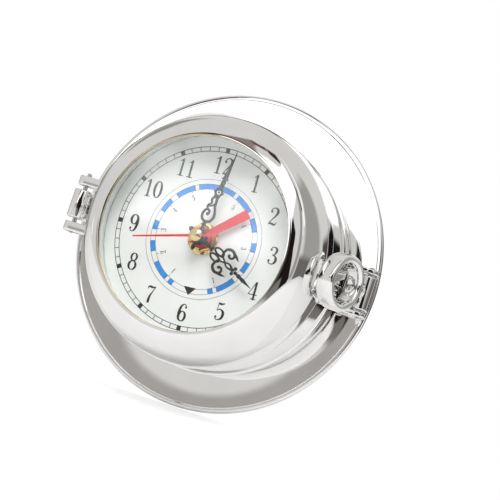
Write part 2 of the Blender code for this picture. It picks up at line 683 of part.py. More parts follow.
def make_movement(finish, places):
    at_knob, at_tide_knob, at_rotor, at_intermediate, at_third, at_motion = places
    inner = SHELL_HALF - SHELL_WALL
    front = block((-SHELL_HALF, SHELL_FRONT, -SHELL_HALF), (SHELL_HALF, SHELL_SPLIT, SHELL_HALF))
    hollow = block((-inner, SHELL_FRONT + SHELL_WALL, -inner), (inner, SHELL_SPLIT + 5, inner))
    bore = rod(TIDE_TUBE_R + GAP, -40, -25)
    # The bush is joined after the hollow is cut, so it is a ring from the start.
    shell = piece("movement_front_shell", front, finish["plastic_black"], cut=[hollow, bore])
    bush = tube(TIDE_TUBE_R + GAP, BUSH_R, BUSH_FRONT, SHELL_FRONT + 0.6)
    combine(shell, "UNION", bush, "movement_front_shell_bush")

    rear = block((-SHELL_HALF, SHELL_SPLIT + GAP, -SHELL_HALF), (SHELL_HALF, SHELL_REAR, SHELL_HALF))
    hollow = block((-inner, SHELL_SPLIT - 5, -inner), (inner, SHELL_REAR - SHELL_WALL, inner))
    bay = block((-25.8, SHELL_REAR - 3, -26.2), (25.8, SHELL_REAR + 3, -12.4))
    holes = [rod(1.4, -20, -10, at, 12) for at in (at_knob, at_tide_knob)]
    piece("movement_rear_shell", rear, finish["plastic_black"], cut=[hollow, bay, *holes])

    bridge = block((-16.0, -16.6, -4.0), (14.0, -15.8, 13.5))
    arbors = [at_rotor, at_intermediate, at_third, at_motion, (0, 0)]
    bearings = [rod(0.8, -20, -10, at, 10) for at in arbors]
    clear_of_knob = rod(2.2, -20, -10, at_tide_knob, 12)
    piece("train_bridge", bridge, finish["plastic_white"], cut=[*bearings, clear_of_knob])

    arms = [
        (-24.5, -7.5), (-8.8, -7.5), (-8.8, 10.5), (-12.0, 17.5), (-24.5, 17.5), (-24.5, 15.4),
        (-16.9, 15.4), (-16.9, -5.4), (-24.5, -5.4),
    ]
    stator = plate(arms, -18.4, -17.6)
    clear = rod(1.0, -30, -10, at_intermediate, 12)
    piece("stator_plate", stator, finish["steel"], cut=[rod(3.1, -30, -10, at_rotor, 20), clear])
    spool = [
        (0, 14.5), (3.4, 14.5), (3.4, 13.6), (1.2, 13.6),
        (1.2, -3.6), (3.4, -3.6), (3.4, -4.5), (0, -4.5),
    ]
    bobbin = turned(spool, 16)
    piece("coil_bobbin", upright(bobbin, -21.2, -18.0), finish["plastic_white"])
    winding = upright(tube(1.5, 3.0, -3.3, 13.3), -21.2, -18.0)
    piece("coil_winding", winding, finish["copper"])
    piece("circuit_board", block((15.0, -16.6, 4.0), (25.8, -15.8, 25.6)), finish["circuit_green"])
    piece("quartz_can", upright(rod(1.0, 16.0, 22.0, sides=12), 19.5, -18.0), finish["steel"])

    half = BATTERY_LENGTH / 2
    cell = [
        (0, half), (BATTERY_R, half), (BATTERY_R, -half),
        (2.75, -half), (2.75, -half - 1.0), (0, -half - 1.0),
    ]
    battery = lengthwise(turned(cell, 20), BATTERY_Y, BATTERY_Z)
    piece("battery_cell", battery, finish["battery"])
    for name, side in (("battery_contact_positive", 1), ("battery_contact_negative", -1)):
        x = side * 26.2
        low = (x - 0.2, BATTERY_Y - 5, BATTERY_Z - 5)
        high = (x + 0.2, BATTERY_Y + 5, BATTERY_Z + 5.7)
        piece(name, block(low, high), finish["steel"])

    piece("movement_cushion", tube(BUSH_R + GAP, 20, -32.0, -31.4, 24), finish["rubber"])
    piece("dial_washer", tube(BUSH_R + GAP, 7.0, -33.7, -33.2, 20), finish["brass"])
    nut_flats = [clock_point(60 * side, 6.4) for side in range(6)]
    nut = plate(nut_flats, -35.1, -34.0)
    piece("centre_nut", nut, finish["brass"], cut=[rod(BUSH_R + GAP, -40, -30)])


# ---------------------------------------------------------------- build


def clear_scene():
    for obj in list(bpy.data.objects):
        bpy.data.objects.remove(obj)


def main():
    clear_scene()
    finish = {
        "chrome": material("chrome", (0.86, 0.86, 0.87), 0.06, 1.0),
        "silver": material("silver_wall", (0.74, 0.77, 0.75), 0.3, 0.6),
        "brass": material("brass", (0.83, 0.66, 0.33), 0.2, 1.0),
        "steel": material("steel", (0.62, 0.62, 0.63), 0.3, 1.0),
        "copper": material("copper", (0.72, 0.36, 0.2), 0.35, 1.0),
        "glass": material("clear_glass", (0.95, 0.98, 0.97), 0.02, 0.0, 0.25),
        "dial": material("dial_white", (0.92, 0.93, 0.91), 0.5),
        "black": material("hand_black", (0.02, 0.02, 0.02), 0.35),
        "red": material("hand_red", (0.78, 0.04, 0.06), 0.35),
        "rubber": material("rubber", (0.05, 0.05, 0.05), 0.8),
        "plastic_black": material("plastic_black", (0.04, 0.04, 0.04), 0.5),
        "plastic_white": material("plastic_white", (0.85, 0.85, 0.82), 0.5),
        "battery": material("battery_sleeve", (0.1, 0.16, 0.3), 0.35),
        "circuit_green": material("circuit_green", (0.05, 0.28, 0.12), 0.5),
        "magnet": material("magnet", (0.2, 0.2, 0.21), 0.4, 0.6),
    }
    make_case(finish["chrome"])
    make_back_plate(finish["brass"], finish["steel"])
    make_dial(finish["dial"], finish["silver"])
    make_bezel(finish["chrome"], finish["brass"], finish["rubber"], finish["glass"])
    make_hinge(finish["chrome"], finish["steel"])
    make_dog(finish["chrome"], finish["steel"])
    make_hands(finish["black"], finish["red"], finish["brass"])
    places = make_gears(finish["plastic_white"], finish["brass"], finish["magnet"])
    make_movement(finish, places)


main()
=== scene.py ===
"""The looks of the ship's deck clock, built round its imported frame.

Frame: X towards 3 o'clock, Z towards 12 o'clock, Y into the wall, so the dial looks along -Y.
Lengths are millimetres until a mesh is made, and places come from the boxes of the frame's nodes.
"""

import json
import math

import bmesh
import bpy
import numpy as np
from mathutils import Matrix, Vector


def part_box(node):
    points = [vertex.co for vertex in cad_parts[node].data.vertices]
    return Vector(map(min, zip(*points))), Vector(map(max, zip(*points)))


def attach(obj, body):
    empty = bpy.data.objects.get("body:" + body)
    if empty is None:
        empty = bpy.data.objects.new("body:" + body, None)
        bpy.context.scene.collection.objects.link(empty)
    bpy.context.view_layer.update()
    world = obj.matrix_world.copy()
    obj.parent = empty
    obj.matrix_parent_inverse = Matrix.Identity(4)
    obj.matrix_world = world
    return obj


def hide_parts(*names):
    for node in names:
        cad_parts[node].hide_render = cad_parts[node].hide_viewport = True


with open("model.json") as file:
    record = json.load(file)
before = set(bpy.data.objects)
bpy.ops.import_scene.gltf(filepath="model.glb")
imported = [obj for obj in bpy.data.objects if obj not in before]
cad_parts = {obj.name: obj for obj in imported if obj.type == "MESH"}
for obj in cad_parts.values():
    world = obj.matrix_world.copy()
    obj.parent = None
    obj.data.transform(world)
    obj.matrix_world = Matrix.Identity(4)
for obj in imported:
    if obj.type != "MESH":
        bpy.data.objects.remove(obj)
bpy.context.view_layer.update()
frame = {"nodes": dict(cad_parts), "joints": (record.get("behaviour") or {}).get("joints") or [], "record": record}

MM = 0.001
TURN = 2 * math.pi
X, Y, Z = 0, 1, 2
ROUND = 192  # steps of a turned piece
LARGE_ROUND = 256  # steps of a wide one
SHARP = 32  # degrees: edges sharper than this stay crisp
FAR = 1e3  # a distance beyond every shape


def low(node, axis):
    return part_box(node)[0][axis] / MM


def high(node, axis):
    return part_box(node)[1][axis] / MM


def middle(node):
    """(x, z) of the middle of a node's box."""
    return (low(node, X) + high(node, X)) / 2, (low(node, Z) + high(node, Z)) / 2


def joint(name):
    return next(j for j in frame["joints"] if j["name"] == name)


def pivot(name):
    return [value / MM for value in joint(name)["pos_m"]]


# Driving sizes, from the frame
FLANGE_R = high("case_body", X)
FLANGE_FACE = -2.2
LIP_WIDTH = 3.0
BEZEL_R = high("bezel", Z)
BEZEL_REAR = high("bezel", Y)
BEZEL_FRONT = low("bezel", Y)
NECK_R = high("dial", Z) + 7.6
NECK_FRONT = BEZEL_REAR + 0.3
SPIGOT_FRONT = low("case_body", Y)
SPIGOT_R = 49.8
GLASS_R = high("glass_lens", Z)
GLASS_FRONT = low("glass_lens", Y)
GLASS_REAR = high("glass_lens", Y)
SEAT_MOUTH_R = GLASS_R - 2.9
BEZEL_MOUTH_R = GLASS_R - 2.5
DIAL_R = high("dial", Z)
DIAL_FACE = low("dial", Y)
HINGE_X, HINGE_Y, _ = pivot("bezel_hinge")
DOG_X, DOG_Y, _ = pivot("dog_swing")
BOLT_WAY = joint("hoop_nut_turn")["axis"]
PIN_HOLE_R = 1.35  # through the lugs and the barrel
BRACKET_HOLE_R = 1.3  # through the hinge's knuckle and the dog's ears
SCREWS = (1, 2, 3)
EVEN_ROUNDS = 14  # how often the outline of a casting is evened out
DIAL_TURN = -3.3  # degrees: how far the dial and its hands stand turned from the hinge's line


# ---------------------------------------------------------------- shapes


def clock_point(angle, radius):
    """(x, z) at an angle in degrees clockwise from 12 o'clock."""
    return radius * math.sin(math.radians(angle)), radius * math.cos(math.radians(angle))


def rounded(points, radii, steps=6):
    """A closed outline with the corner at each point rounded to its radius."""
    out = []
    count = len(points)
    for i, (point, radius) in enumerate(zip(points, radii)):
        corner = Vector(point)
        before = Vector(points[i - 1]) - corner
        after = Vector(points[(i + 1) % count]) - corner
        if radius <= 0:
            out.append(tuple(corner))
            continue
        half = before.angle(after) / 2
        reach = min(radius / math.tan(half), 0.49 * before.length, 0.49 * after.length)
        start = corner + before.normalized() * reach
        end = corner + after.normalized() * reach
        for step in range(steps + 1):
            t = step / steps
            near = start.lerp(corner, t)
            out.append(tuple(near.lerp(corner.lerp(end, t), t)))
    return out


def shaded(data, sharp=SHARP):
    """Smooth shading, crisp at edges sharper than an angle in degrees."""
    data.shade_smooth()
    data.set_sharp_from_angle(angle=math.radians(sharp))
    return data


def linked(name, data):
    """A new object in the scene."""
    obj = bpy.data.objects.new(name, data)
    bpy.context.scene.collection.objects.link(obj)
    return obj


def finished(name, mesh, sharp=SHARP):
    """An object from a bmesh in millimetres."""
    bmesh.ops.recalc_face_normals(mesh, faces=mesh.faces)
    bmesh.ops.scale(mesh, vec=(MM, MM, MM), verts=mesh.verts)
    data = bpy.data.meshes.new(name)
    mesh.to_mesh(data)
    mesh.free()
    return linked(name, shaded(data, sharp))


def turned_mesh(profile, steps=ROUND, closed=True):
    """A profile of (radius, y) turned about the Y axis. An open one ends on the axis."""
    mesh = bmesh.new()
    rings = []
    for radius, y in profile:
        if radius < 1e-6:
            rings.append([mesh.verts.new((0, y, 0))])
            continue
        ring = []
        for step in range(steps):
            angle = TURN * step / steps
            ring.append(mesh.verts.new((radius * math.sin(angle), y, radius * math.cos(angle))))
        rings.append(ring)
    pairs = list(zip(rings, rings[1:]))
    if closed:
        pairs.append((rings[-1], rings[0]))
    for first, second in pairs:
        for step in range(steps):
            after = (step + 1) % steps
            corners = []
            for ring, index in ((first, step), (first, after), (second, after), (second, step)):
                corner = ring[index] if len(ring) > 1 else ring[0]
                if corner not in corners:
                    corners.append(corner)
            if len(corners) > 2:
                mesh.faces.new(corners)
    return mesh


def turned(name, profile, steps=ROUND, closed=True, sharp=SHARP):
    return finished(name, turned_mesh(profile, steps, closed), sharp)


def moved(obj, matrix):
    obj.data.transform(matrix)
    return obj


def standing(obj, x, y):
    """A piece turned about Y, stood up along Z at (x, y) in millimetres."""
    place = Matrix.Translation((x * MM, y * MM, 0)) @ Matrix.Rotation(math.pi / 2, 4, "X")
    return moved(obj, place)


def pin_hole(x, y):
    """A tool that bores a piece for its pin, along Z at (x, y)."""
    ends = 20
    profile = [(0, ends), (PIN_HOLE_R, ends), (PIN_HOLE_R, -ends), (0, -ends)]
    return standing(turned("hole", profile, 32, closed=False), x, y)


def at_screw(obj, x, z):
    return moved(obj, Matrix.Translation((x * MM, 0, z * MM)))


def lofted(name, sections, sharp=40):
    """A closed skin over rings of the same number of points."""
    mesh = bmesh.new()
    rings = [[mesh.verts.new(point) for point in section] for section in sections]
    for first, second in zip(rings, rings[1:]):
        for i in range(len(first)):
            j = (i + 1) % len(first)
            mesh.faces.new((first[i], first[j], second[j], second[i]))
    mesh.faces.new(rings[0])
    mesh.faces.new(rings[-1])
    return finished(name, mesh, sharp)


def cut(obj, tools):
    """Takes each tool away from obj with a Boolean, and removes the tool."""
    for tool in tools:
        boolean = obj.modifiers.new("cut", "BOOLEAN")
        boolean.operation = "DIFFERENCE"
        boolean.object = tool
    graph = bpy.context.evaluated_depsgraph_get()
    data = bpy.data.meshes.new_from_object(obj.evaluated_get(graph))
    obj.modifiers.clear()
    obj.data = shaded(data)
    for tool in tools:
        bpy.data.objects.remove(tool)
    return obj


# ---------------------------------------------------------------- outlines from distance fields


class Field:
    """A flat shape as a signed distance on a grid, in millimetres, negative inside."""

    SPECK = 5  # loops of no more points than this are left out
    SHORT = 24  # loops of no more points than this keep them all

    def __init__(self, x0, x1, z0, z1, step):
        self.xs = np.arange(x0, x1 + step, step)
        self.zs = np.arange(z0, z1 + step, step)
        self.x, self.z = np.meshgrid(self.xs, self.zs, indexing="ij")
        self.values = np.full(self.x.shape, FAR)

    def add(self, other, blend=0.0):
        """Joins another distance, with a fillet of about the blend where the two meet."""
        if blend <= 0:
            self.values = np.minimum(self.values, other)
            return self
        share = np.clip(0.5 + 0.5 * (other - self.values) / blend, 0, 1)
        self.values = other * (1 - share) + self.values * share - blend * share * (1 - share)
        return self

    def keep(self, other):
        """Keeps only what is inside another distance too."""
        self.values = np.maximum(self.values, other)
        return self

    def bore(self, radius, x=0, z=0):
        return self.keep(-self.ball(x, z, radius))

    def ball(self, x, z, radius):
        return np.hypot(self.x - x, self.z - z) - radius

    def dot(self, x, z, radius, blend=0.0):
        return self.add(self.ball(x, z, radius), blend)

    def stroke(self, points, blend=0.0, bold=0.0):
        return self.add(self.trail(points, bold=bold), blend)

    def trail(self, points, samples=8, bold=0.0):
        """A stroke through (x, z, half width) points on a smooth curve, made bolder on each side."""
        line = smooth_line(points, samples)
        line[:, 2] += bold
        best = np.full(self.x.shape, FAR)
        for (ax, az, aw), (bx, bz, bw) in zip(line, line[1:]):
            dx, dz = bx - ax, bz - az
            long = dx * dx + dz * dz or 1e-9
            t = np.clip(((self.x - ax) * dx + (self.z - az) * dz) / long, 0, 1)
            away = np.hypot(self.x - ax - t * dx, self.z - az - t * dz)
            best = np.minimum(best, away - aw - t * (bw - aw))
        return best

    def loops(self, rounds=2):
        """The zero line as closed loops of points, evened out in a number of rounds."""
        inside = self.values < 0
        links = {}

        def crossing(a, b):
            return (a, b) if a < b else (b, a)

        active = np.argwhere(
            (inside[:-1, :-1] != inside[1:, :-1])
            | (inside[:-1, :-1] != inside[:-1, 1:])
            | (inside[:-1, :-1] != inside[1:, 1:])
        )
        for i, k in active:
            corners = [(i, k), (i + 1, k), (i + 1, k + 1), (i, k + 1)]
            found = []
            for n in range(4):
                a, b = corners[n], corners[(n + 1) % 4]
                if inside[a] != inside[b]:
                    found.append(crossing(tuple(map(int, a)), tuple(map(int, b))))
            if len(found) == 4 and not inside[corners[0]]:
                found = found[1:] + found[:1]
            for n in range(0, len(found), 2):
                links.setdefault(found[n], []).append(found[n + 1])
                links.setdefault(found[n + 1], []).append(found[n])
        loops = []
        while links:
            start = here = next(iter(links))
            keys = [here]
            following = links[here][0]
            while following != start:
                came, here = here, following
                keys.append(here)
                ways = links.pop(here)
                following = ways[1] if ways[0] == came else ways[0]
            links.pop(start)
            if len(keys) > self.SPECK:
                loops.append(self.placed(keys, rounds))
        return loops

    def placed(self, keys, rounds):
        """The points where a loop crosses the grid's lines, evened out, and every second one kept."""
        points = []
        for a, b in keys:
            va, vb = self.values[a], self.values[b]
            t = va / (va - vb)
            x = self.xs[a[0]] + t * (self.xs[b[0]] - self.xs[a[0]])
            z = self.zs[a[1]] + t * (self.zs[b[1]] - self.zs[a[1]])
            points.append((x, z))
        line = np.array(points)
        for _ in range(rounds):
            line = 0.5 * line + 0.25 * (np.roll(line, 1, 0) + np.roll(line, -1, 0))
        return line[:: 2 if len(line) > self.SHORT else 1]


def smooth_line(points, samples):
    """Catmull-Rom points through rows of numbers. The third number, a half width, stays above zero."""
    thinnest = 0.004
    rows = np.array(points, float)
    if len(rows) < 3:
        return rows
    padded = np.vstack([2 * rows[0] - rows[1], rows, 2 * rows[-1] - rows[-2]])
    line = []
    for i in range(1, len(padded) - 2):
        before, start, end, after = padded[i - 1 : i + 3]
        for step in range(samples):
            t = step / samples
            line.append(
                0.5
                * (
                    2 * start
                    + (end - before) * t
                    + (2 * before - 5 * start + 4 * end - after) * t * t
                    + (3 * start - before - 3 * end + after) * t**3
                )
            )
    line.append(rows[-1])
    line = np.array(line)
    line[:, 2:] = np.maximum(line[:, 2:], thinnest)
    return line


FACE_ON = Matrix(((1, 0, 0, 0), (0, 0, -1, 0), (0, 1, 0, 0), (0, 0, 0, 1)))  # a flat shape seen from -Y


def flat_mesh(loops, thick, bevel, matrix):
    """Loops as a filled plate, thick and with eased edges, its middle plane placed by the matrix."""
    curve = bpy.data.curves.new("outline", "CURVE")
    curve.dimensions = "2D"
    curve.fill_mode = "BOTH"
    curve.extrude = (thick / 2 - bevel) * MM
    curve.bevel_depth = bevel * MM
    curve.bevel_resolution = 2
    curve.offset = -bevel * MM
    for loop in loops:
        spline = curve.splines.new("POLY")
        spline.points.add(len(loop) - 1)
        flat = np.zeros((len(loop), 4))
        flat[:, :2] = np.asarray(loop) * MM
        flat[:, 3] = 1
        spline.points.foreach_set("co", flat.ravel())
        spline.use_cyclic_u = True
    holder = linked("outline", curve)
    graph = bpy.context.evaluated_depsgraph_get()
    data = bpy.data.meshes.new_from_object(holder.evaluated_get(graph))
    bpy.data.objects.remove(holder)
    data.transform(matrix)
    return data


def plate(name, loops, thick, bevel, matrix, sharp=35):
    """An object from a flat mesh whose front, edge and back are joined."""
    data = flat_mesh(loops, thick, bevel, matrix)
    joined = bmesh.new()
    joined.from_mesh(data)
    bmesh.ops.remove_doubles(joined, verts=joined.verts, dist=1e-7)
    joined.to_mesh(data)
    joined.free()
    data.name = name
    return linked(name, shaded(data, sharp))


# ---------------------------------------------------------------- materials


def feed(tree, socket, value):
    """Gives a socket a value, or a link if the value is another node's output."""
    if isinstance(value, bpy.types.NodeSocket):
        tree.links.new(value, socket)
    else:
        socket.default_value = value


def add_node(tree, kind, sockets=(), **settings):
    """A new shader node with its settings and with what each of its sockets is fed."""
    node = tree.nodes.new("ShaderNode" + kind)
    for key, value in settings.items():
        setattr(node, key, value)
    for key, value in dict(sockets).items():
        feed(tree, node.inputs[key], value)
    return node


class Finish:
    """A material under construction: a Principled shader and the nodes that feed it."""

    def __init__(self, name, roughness, metallic=0.0, **values):
        self.material = bpy.data.materials.new(name)
        self.material.use_nodes = True
        self.tree = self.material.node_tree
        self.shader = self.tree.nodes["Principled BSDF"]
        self.shader.inputs["Roughness"].default_value = roughness
        self.shader.inputs["Metallic"].default_value = metallic
        for key, value in values.items():
            self.shader.inputs[key.replace("_", " ")].default_value = value
        self.coords = self.node("TexCoord").outputs["Object"]
        self.height = None

    def node(self, kind, sockets=(), **settings):
        return add_node(self.tree, kind, sockets, **settings)

    def link(self, source, target):
        self.tree.links.new(source, target)

    def noise(self, scale, detail=4.0, stretch=(1, 1, 1)):
        place = self.node("Mapping", {"Scale": stretch, "Vector": self.coords})
        vector = place.outputs["Vector"]
        return self.node("TexNoise", {"Scale": scale, "Detail": detail, "Vector": vector}).outputs["Fac"]

    def radius(self):
        """The distance from the Y axis, in metres."""
        parts = self.node("SeparateXYZ", {0: self.coords})
        flat = self.node("CombineXYZ", {"X": parts.outputs["X"], "Y": parts.outputs["Z"]})
        return self.node("VectorMath", {0: flat.outputs[0]}, operation="LENGTH").outputs["Value"]

    def rings(self, scale):
        """Noise that only changes with the distance from the Y axis, like the marks of a lathe."""
        sockets = {"Scale": scale, "Detail": 3.0, "W": self.radius()}
        return self.node("TexNoise", sockets, noise_dimensions="1D").outputs["Fac"]

    def spread(self, source, low_value, high_value, start=0.3, end=0.7):
        """A texture's values from start to end, as values from low to high."""
        limits = {"From Min": start, "From Max": end, "To Min": low_value, "To Max": high_value}
        return self.node("MapRange", {**limits, "Value": source}).outputs["Result"]

    def tint(self, source, first, second, start=0.3, end=0.7):
        """Base colour between two colours, after a texture."""
        ramp = self.node("ValToRGB", {"Fac": source})
        for element, place, colour in zip(ramp.color_ramp.elements, (start, end), (first, second)):
            element.position = place
            element.color = (*colour, 1)
        self.link(ramp.outputs["Color"], self.shader.inputs["Base Color"])
        return self

    def rough(self, source, low_value, high_value, start=0.3, end=0.7):
        self.link(self.spread(source, low_value, high_value, start, end), self.shader.inputs["Roughness"])
        return self

    def bump(self, source, distance, strength=1.0):
        """Bumps after a texture, on top of the bumps that are there."""
        node = self.node("Bump", {"Strength": strength, "Distance": distance, "Height": source})
        if self.height is not None:
            self.link(self.height, node.inputs["Normal"])
        self.height = node.outputs["Normal"]
        self.link(self.height, self.shader.inputs["Normal"])
        return self


def chrome_plate():
    made = Finish("chrome_plate", 0.04, 1.0)
    made.tint(made.noise(35, 5), (0.86, 0.855, 0.85), (0.93, 0.928, 0.925))
    made.rough(made.noise(160, 6), 0.02, 0.055)
    made.bump(made.noise(60, 2), 0.00006, 0.12)
    return made.bump(made.noise(2600, 2), 0.000002, 0.2).material


def silver_wall():
    made = Finish("silver_wall", 0.35, 0.35)
    made.tint(made.noise(50, 4, (1, 6, 1)), (0.74, 0.77, 0.745), (0.84, 0.865, 0.84))
    made.rough(made.noise(220, 5), 0.28, 0.42)
    return made.bump(made.noise(900, 2, (1, 8, 1)), 0.00002, 0.3).material


def brass(name, roughness, colour=(0.88, 0.66, 0.30)):
    made = Finish(name, roughness, 1.0)
    dark = tuple(0.82 * value for value in colour)
    made.tint(made.noise(140, 5), dark, colour)
    made.rough(made.noise(380, 5), roughness * 0.7, roughness * 1.4)
    return made.bump(made.noise(1500, 2), 0.00001, 0.3).material


def turned_brass():
    made = Finish("turned_brass", 0.25, 1.0)
    made.tint(made.noise(90, 5), (0.70, 0.53, 0.26), (0.84, 0.66, 0.33))
    made.rough(made.noise(300, 5), 0.2, 0.38)
    return made.bump(made.rings(5200), 0.00003, 0.5).material


def steel():
    made = Finish("brushed_steel", 0.25, 1.0)
    made.tint(made.noise(90, 5), (0.50, 0.50, 0.51), (0.64, 0.64, 0.65))
    made.rough(made.noise(420, 5, (1, 1, 7)), 0.16, 0.34)
    return made.bump(made.noise(2200, 2, (1, 1, 8)), 0.00001, 0.4).material


def copper_wire():
    made = Finish("copper_wire", 0.3, 1.0)
    made.tint(made.noise(300, 4), (0.55, 0.24, 0.12), (0.72, 0.36, 0.2))
    made.rough(made.noise(500, 4), 0.22, 0.42)
    return made.bump(made.noise(900, 1, (1, 1, 14)), 0.0001, 0.8).material


def dial_paint():
    made = Finish("dial_paint", 0.45, Specular_IOR_Level=0.35)
    made.tint(made.noise(70, 5), (0.885, 0.90, 0.885), (0.93, 0.94, 0.925))
    made.rough(made.noise(700, 4), 0.38, 0.52)
    return made.bump(made.noise(3000, 2), 0.000012, 0.35).material


def ink(name, colour, lighter, roughness=0.5):
    """Printing ink, with a little uneven cover."""
    made = Finish(name, roughness, Specular_IOR_Level=0.3)
    made.tint(made.noise(420, 6), colour, lighter)
    made.rough(made.noise(900, 3), roughness * 0.8, roughness * 1.2)
    return made.bump(made.noise(4200, 2), 0.000006, 0.3).material


def lacquer(name, colour, lighter, roughness=0.32):
    """Sprayed hand lacquer, a little lighter in random places."""
    made = Finish(name, roughness, Coat_Weight=0.12, Coat_Roughness=0.3, Specular_IOR_Level=0.35)
    made.tint(made.noise(260, 5), colour, lighter)
    made.rough(made.noise(800, 4), roughness * 0.75, roughness * 1.3)
    return made.bump(made.noise(2600, 3), 0.000012, 0.4).material


def plastic(name, colour, lighter, roughness=0.45):
    made = Finish(name, roughness)
    made.tint(made.noise(120, 5), colour, lighter)
    made.rough(made.noise(600, 4), roughness * 0.8, roughness * 1.2)
    return made.bump(made.noise(2400, 3), 0.00003, 0.5).material


def rubber():
    made = Finish("rubber", 0.8, Specular_IOR_Level=0.3)
    made.tint(made.noise(150, 5), (0.03, 0.03, 0.03), (0.065, 0.063, 0.06))
    made.rough(made.noise(500, 4), 0.65, 0.9)
    return made.bump(made.noise(1800, 4), 0.00005, 0.6).material


def battery_sleeve():
    made = Finish("battery_sleeve", 0.3, Coat_Weight=0.5, Coat_Roughness=0.1)
    parts = made.node("SeparateXYZ", {0: made.coords})
    made.tint(parts.outputs["X"], (0.75, 0.55, 0.22), (0.05, 0.09, 0.2), 0.012, 0.0125)
    made.rough(made.noise(300, 4), 0.2, 0.36)
    return made.bump(made.noise(900, 2), 0.00003, 0.3).material


def circuit_green():
    made = Finish("circuit_green", 0.4)
    cells = made.node("TexVoronoi", {"Scale": 700, "Vector": made.coords}, distance="MANHATTAN")
    made.tint(cells.outputs["Distance"], (0.03, 0.20, 0.08), (0.06, 0.32, 0.13))
    made.rough(made.noise(500, 4), 0.3, 0.5)
    return made.bump(cells.outputs["Distance"], 0.00004, 0.5).material


def magnet():
    made = Finish("magnet", 0.4, 0.7)
    made.tint(made.noise(500, 5), (0.14, 0.14, 0.15), (0.26, 0.26, 0.27))
    made.rough(made.noise(900, 4), 0.3, 0.5)
    return made.bump(made.noise(2600, 3), 0.00002, 0.5).material


def clear_glass():
    """Window glass that lets lamps and the light of the surroundings through to the dial."""
    made = Finish("clear_glass", 0.0, Transmission_Weight=1.0, IOR=1.5)
    made.tint(made.noise(30, 3), (0.975, 0.99, 0.985), (0.99, 1.0, 0.995))
    made.rough(made.noise(120, 5), 0.0, 0.006, 0.45, 0.8)
    path = made.node("LightPath").outputs
    either = made.node("Math", {0: path["Is Shadow Ray"], 1: path["Is Diffuse Ray"]}, operation="MAXIMUM")
    passing = made.node("BsdfTransparent").outputs[0]
    mix = made.node("MixShader", {"Fac": either.outputs[0], 1: made.shader.outputs[0], 2: passing})
    made.link(mix.outputs[0], made.tree.nodes["Material Output"].inputs["Surface"])
    return made.material


FINISHES = {
    "chrome": chrome_plate(),
    "silver_wall": silver_wall(),
    "brass": brass("polished_brass", 0.14),
    "steel": steel(),
    "copper": copper_wire(),
    "clear_glass": clear_glass(),
    "dial_white": dial_paint(),
    "hand_black": lacquer("hand_black", (0.006, 0.006, 0.007), (0.02, 0.02, 0.021)),
    "hand_red": lacquer("hand_red", (0.62, 0.006, 0.016), (0.76, 0.012, 0.026)),
    "rubber": rubber(),
    "plastic_black": plastic("plastic_black", (0.02, 0.02, 0.02), (0.045, 0.045, 0.045)),
    "plastic_white": plastic("plastic_white", (0.78, 0.77, 0.73), (0.86, 0.855, 0.82)),
    "battery_sleeve": battery_sleeve(),
    "circuit_green": circuit_green(),
    "magnet": magnet(),
}
TURNED_BRASS = turned_brass()
PALE_BRASS = brass("pale_brass", 0.12, (0.80, 0.70, 0.47))
BLACK_INK = ink("black_ink", (0.005, 0.006, 0.006), (0.016, 0.017, 0.017))
BLUE_INK = ink("blue_ink", (0.012, 0.25, 0.78), (0.03, 0.31, 0.86))


def dress_frame():
    """Gives every node of the frame the finish of its slot in the record."""
    for part in frame["record"]["subparts"]:
        data = frame["nodes"][part["node"]].data
        data.materials.clear()
        data.materials.append(FINISHES[part["material_slot"]])
        shaded(data)


def settle(obj, body, slot, nodes=(), finish=None):
    """Gives a piece its finish, its body and the nodes that it stands for."""
    obj.data.materials.clear()
    obj.data.materials.append(finish or FINISHES[slot])
    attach(obj, body)
    if nodes:
        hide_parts(*nodes)
    return obj


# ---------------------------------------------------------------- case


def make_case():
    """The flange, neck and spigot in one turned piece, with the dial's ledge and the back's seat inside."""
    lip_rise = 0.18
    ledge_r = DIAL_R + 0.6
    ledge_mouth_r = 44.5
    cavity_r = 47.0
    rear_cavity_r = 50.5
    seat_r = 42.0
    seat_y = -7.5
    back_r = high("back_plate", Z) + 0.4
    back_y = low("back_plate", Y) - 0.3
    corners = [
        ((back_r, 0), 0.3),
        ((FLANGE_R, 0), 0.5),
        ((FLANGE_R, FLANGE_FACE - lip_rise), 1.0),
        ((FLANGE_R - LIP_WIDTH + 1.1, FLANGE_FACE - lip_rise), 0.4),
        ((FLANGE_R - LIP_WIDTH + 0.7, FLANGE_FACE), 0.4),
        ((NECK_R, FLANGE_FACE), 1.6),
        ((NECK_R, NECK_FRONT), 0.5),
        ((SPIGOT_R, NECK_FRONT), 0.4),
        ((SPIGOT_R, SPIGOT_FRONT), 0.4),
        ((ledge_r, SPIGOT_FRONT), 0.2),
        ((ledge_r, SPIGOT_FRONT + 1.0), 0.1),
        ((ledge_mouth_r, SPIGOT_FRONT + 1.0), 0.3),
        ((ledge_mouth_r, SPIGOT_FRONT + 3.0), 0.3),
        ((cavity_r, SPIGOT_FRONT + 4.0), 0.4),
        ((cavity_r, NECK_FRONT + 1.0), 0.6),
        ((rear_cavity_r, NECK_FRONT + 3.5), 0.6),
        ((rear_cavity_r, seat_y), 0.4),
        ((seat_r, seat_y), 0.3),
        ((seat_r, back_y), 0.3),
        ((back_r, back_y), 0.2),
    ]
    profile = rounded([c[0] for c in corners], [c[1] for c in corners])
    case = turned("case_with_flange", profile, LARGE_ROUND)
    holes = []
    for number in SCREWS:
        x, z = middle(f"back_screw_{number}")
        hole = turned("hole", [(0, 0.5), (1.3, 0.5), (1.3, -6.9), (0, -6.9)], 24, closed=False)
        holes.append(at_screw(hole, x, z))
    settle(cut(case, holes), "case", "chrome", ["case_body"])


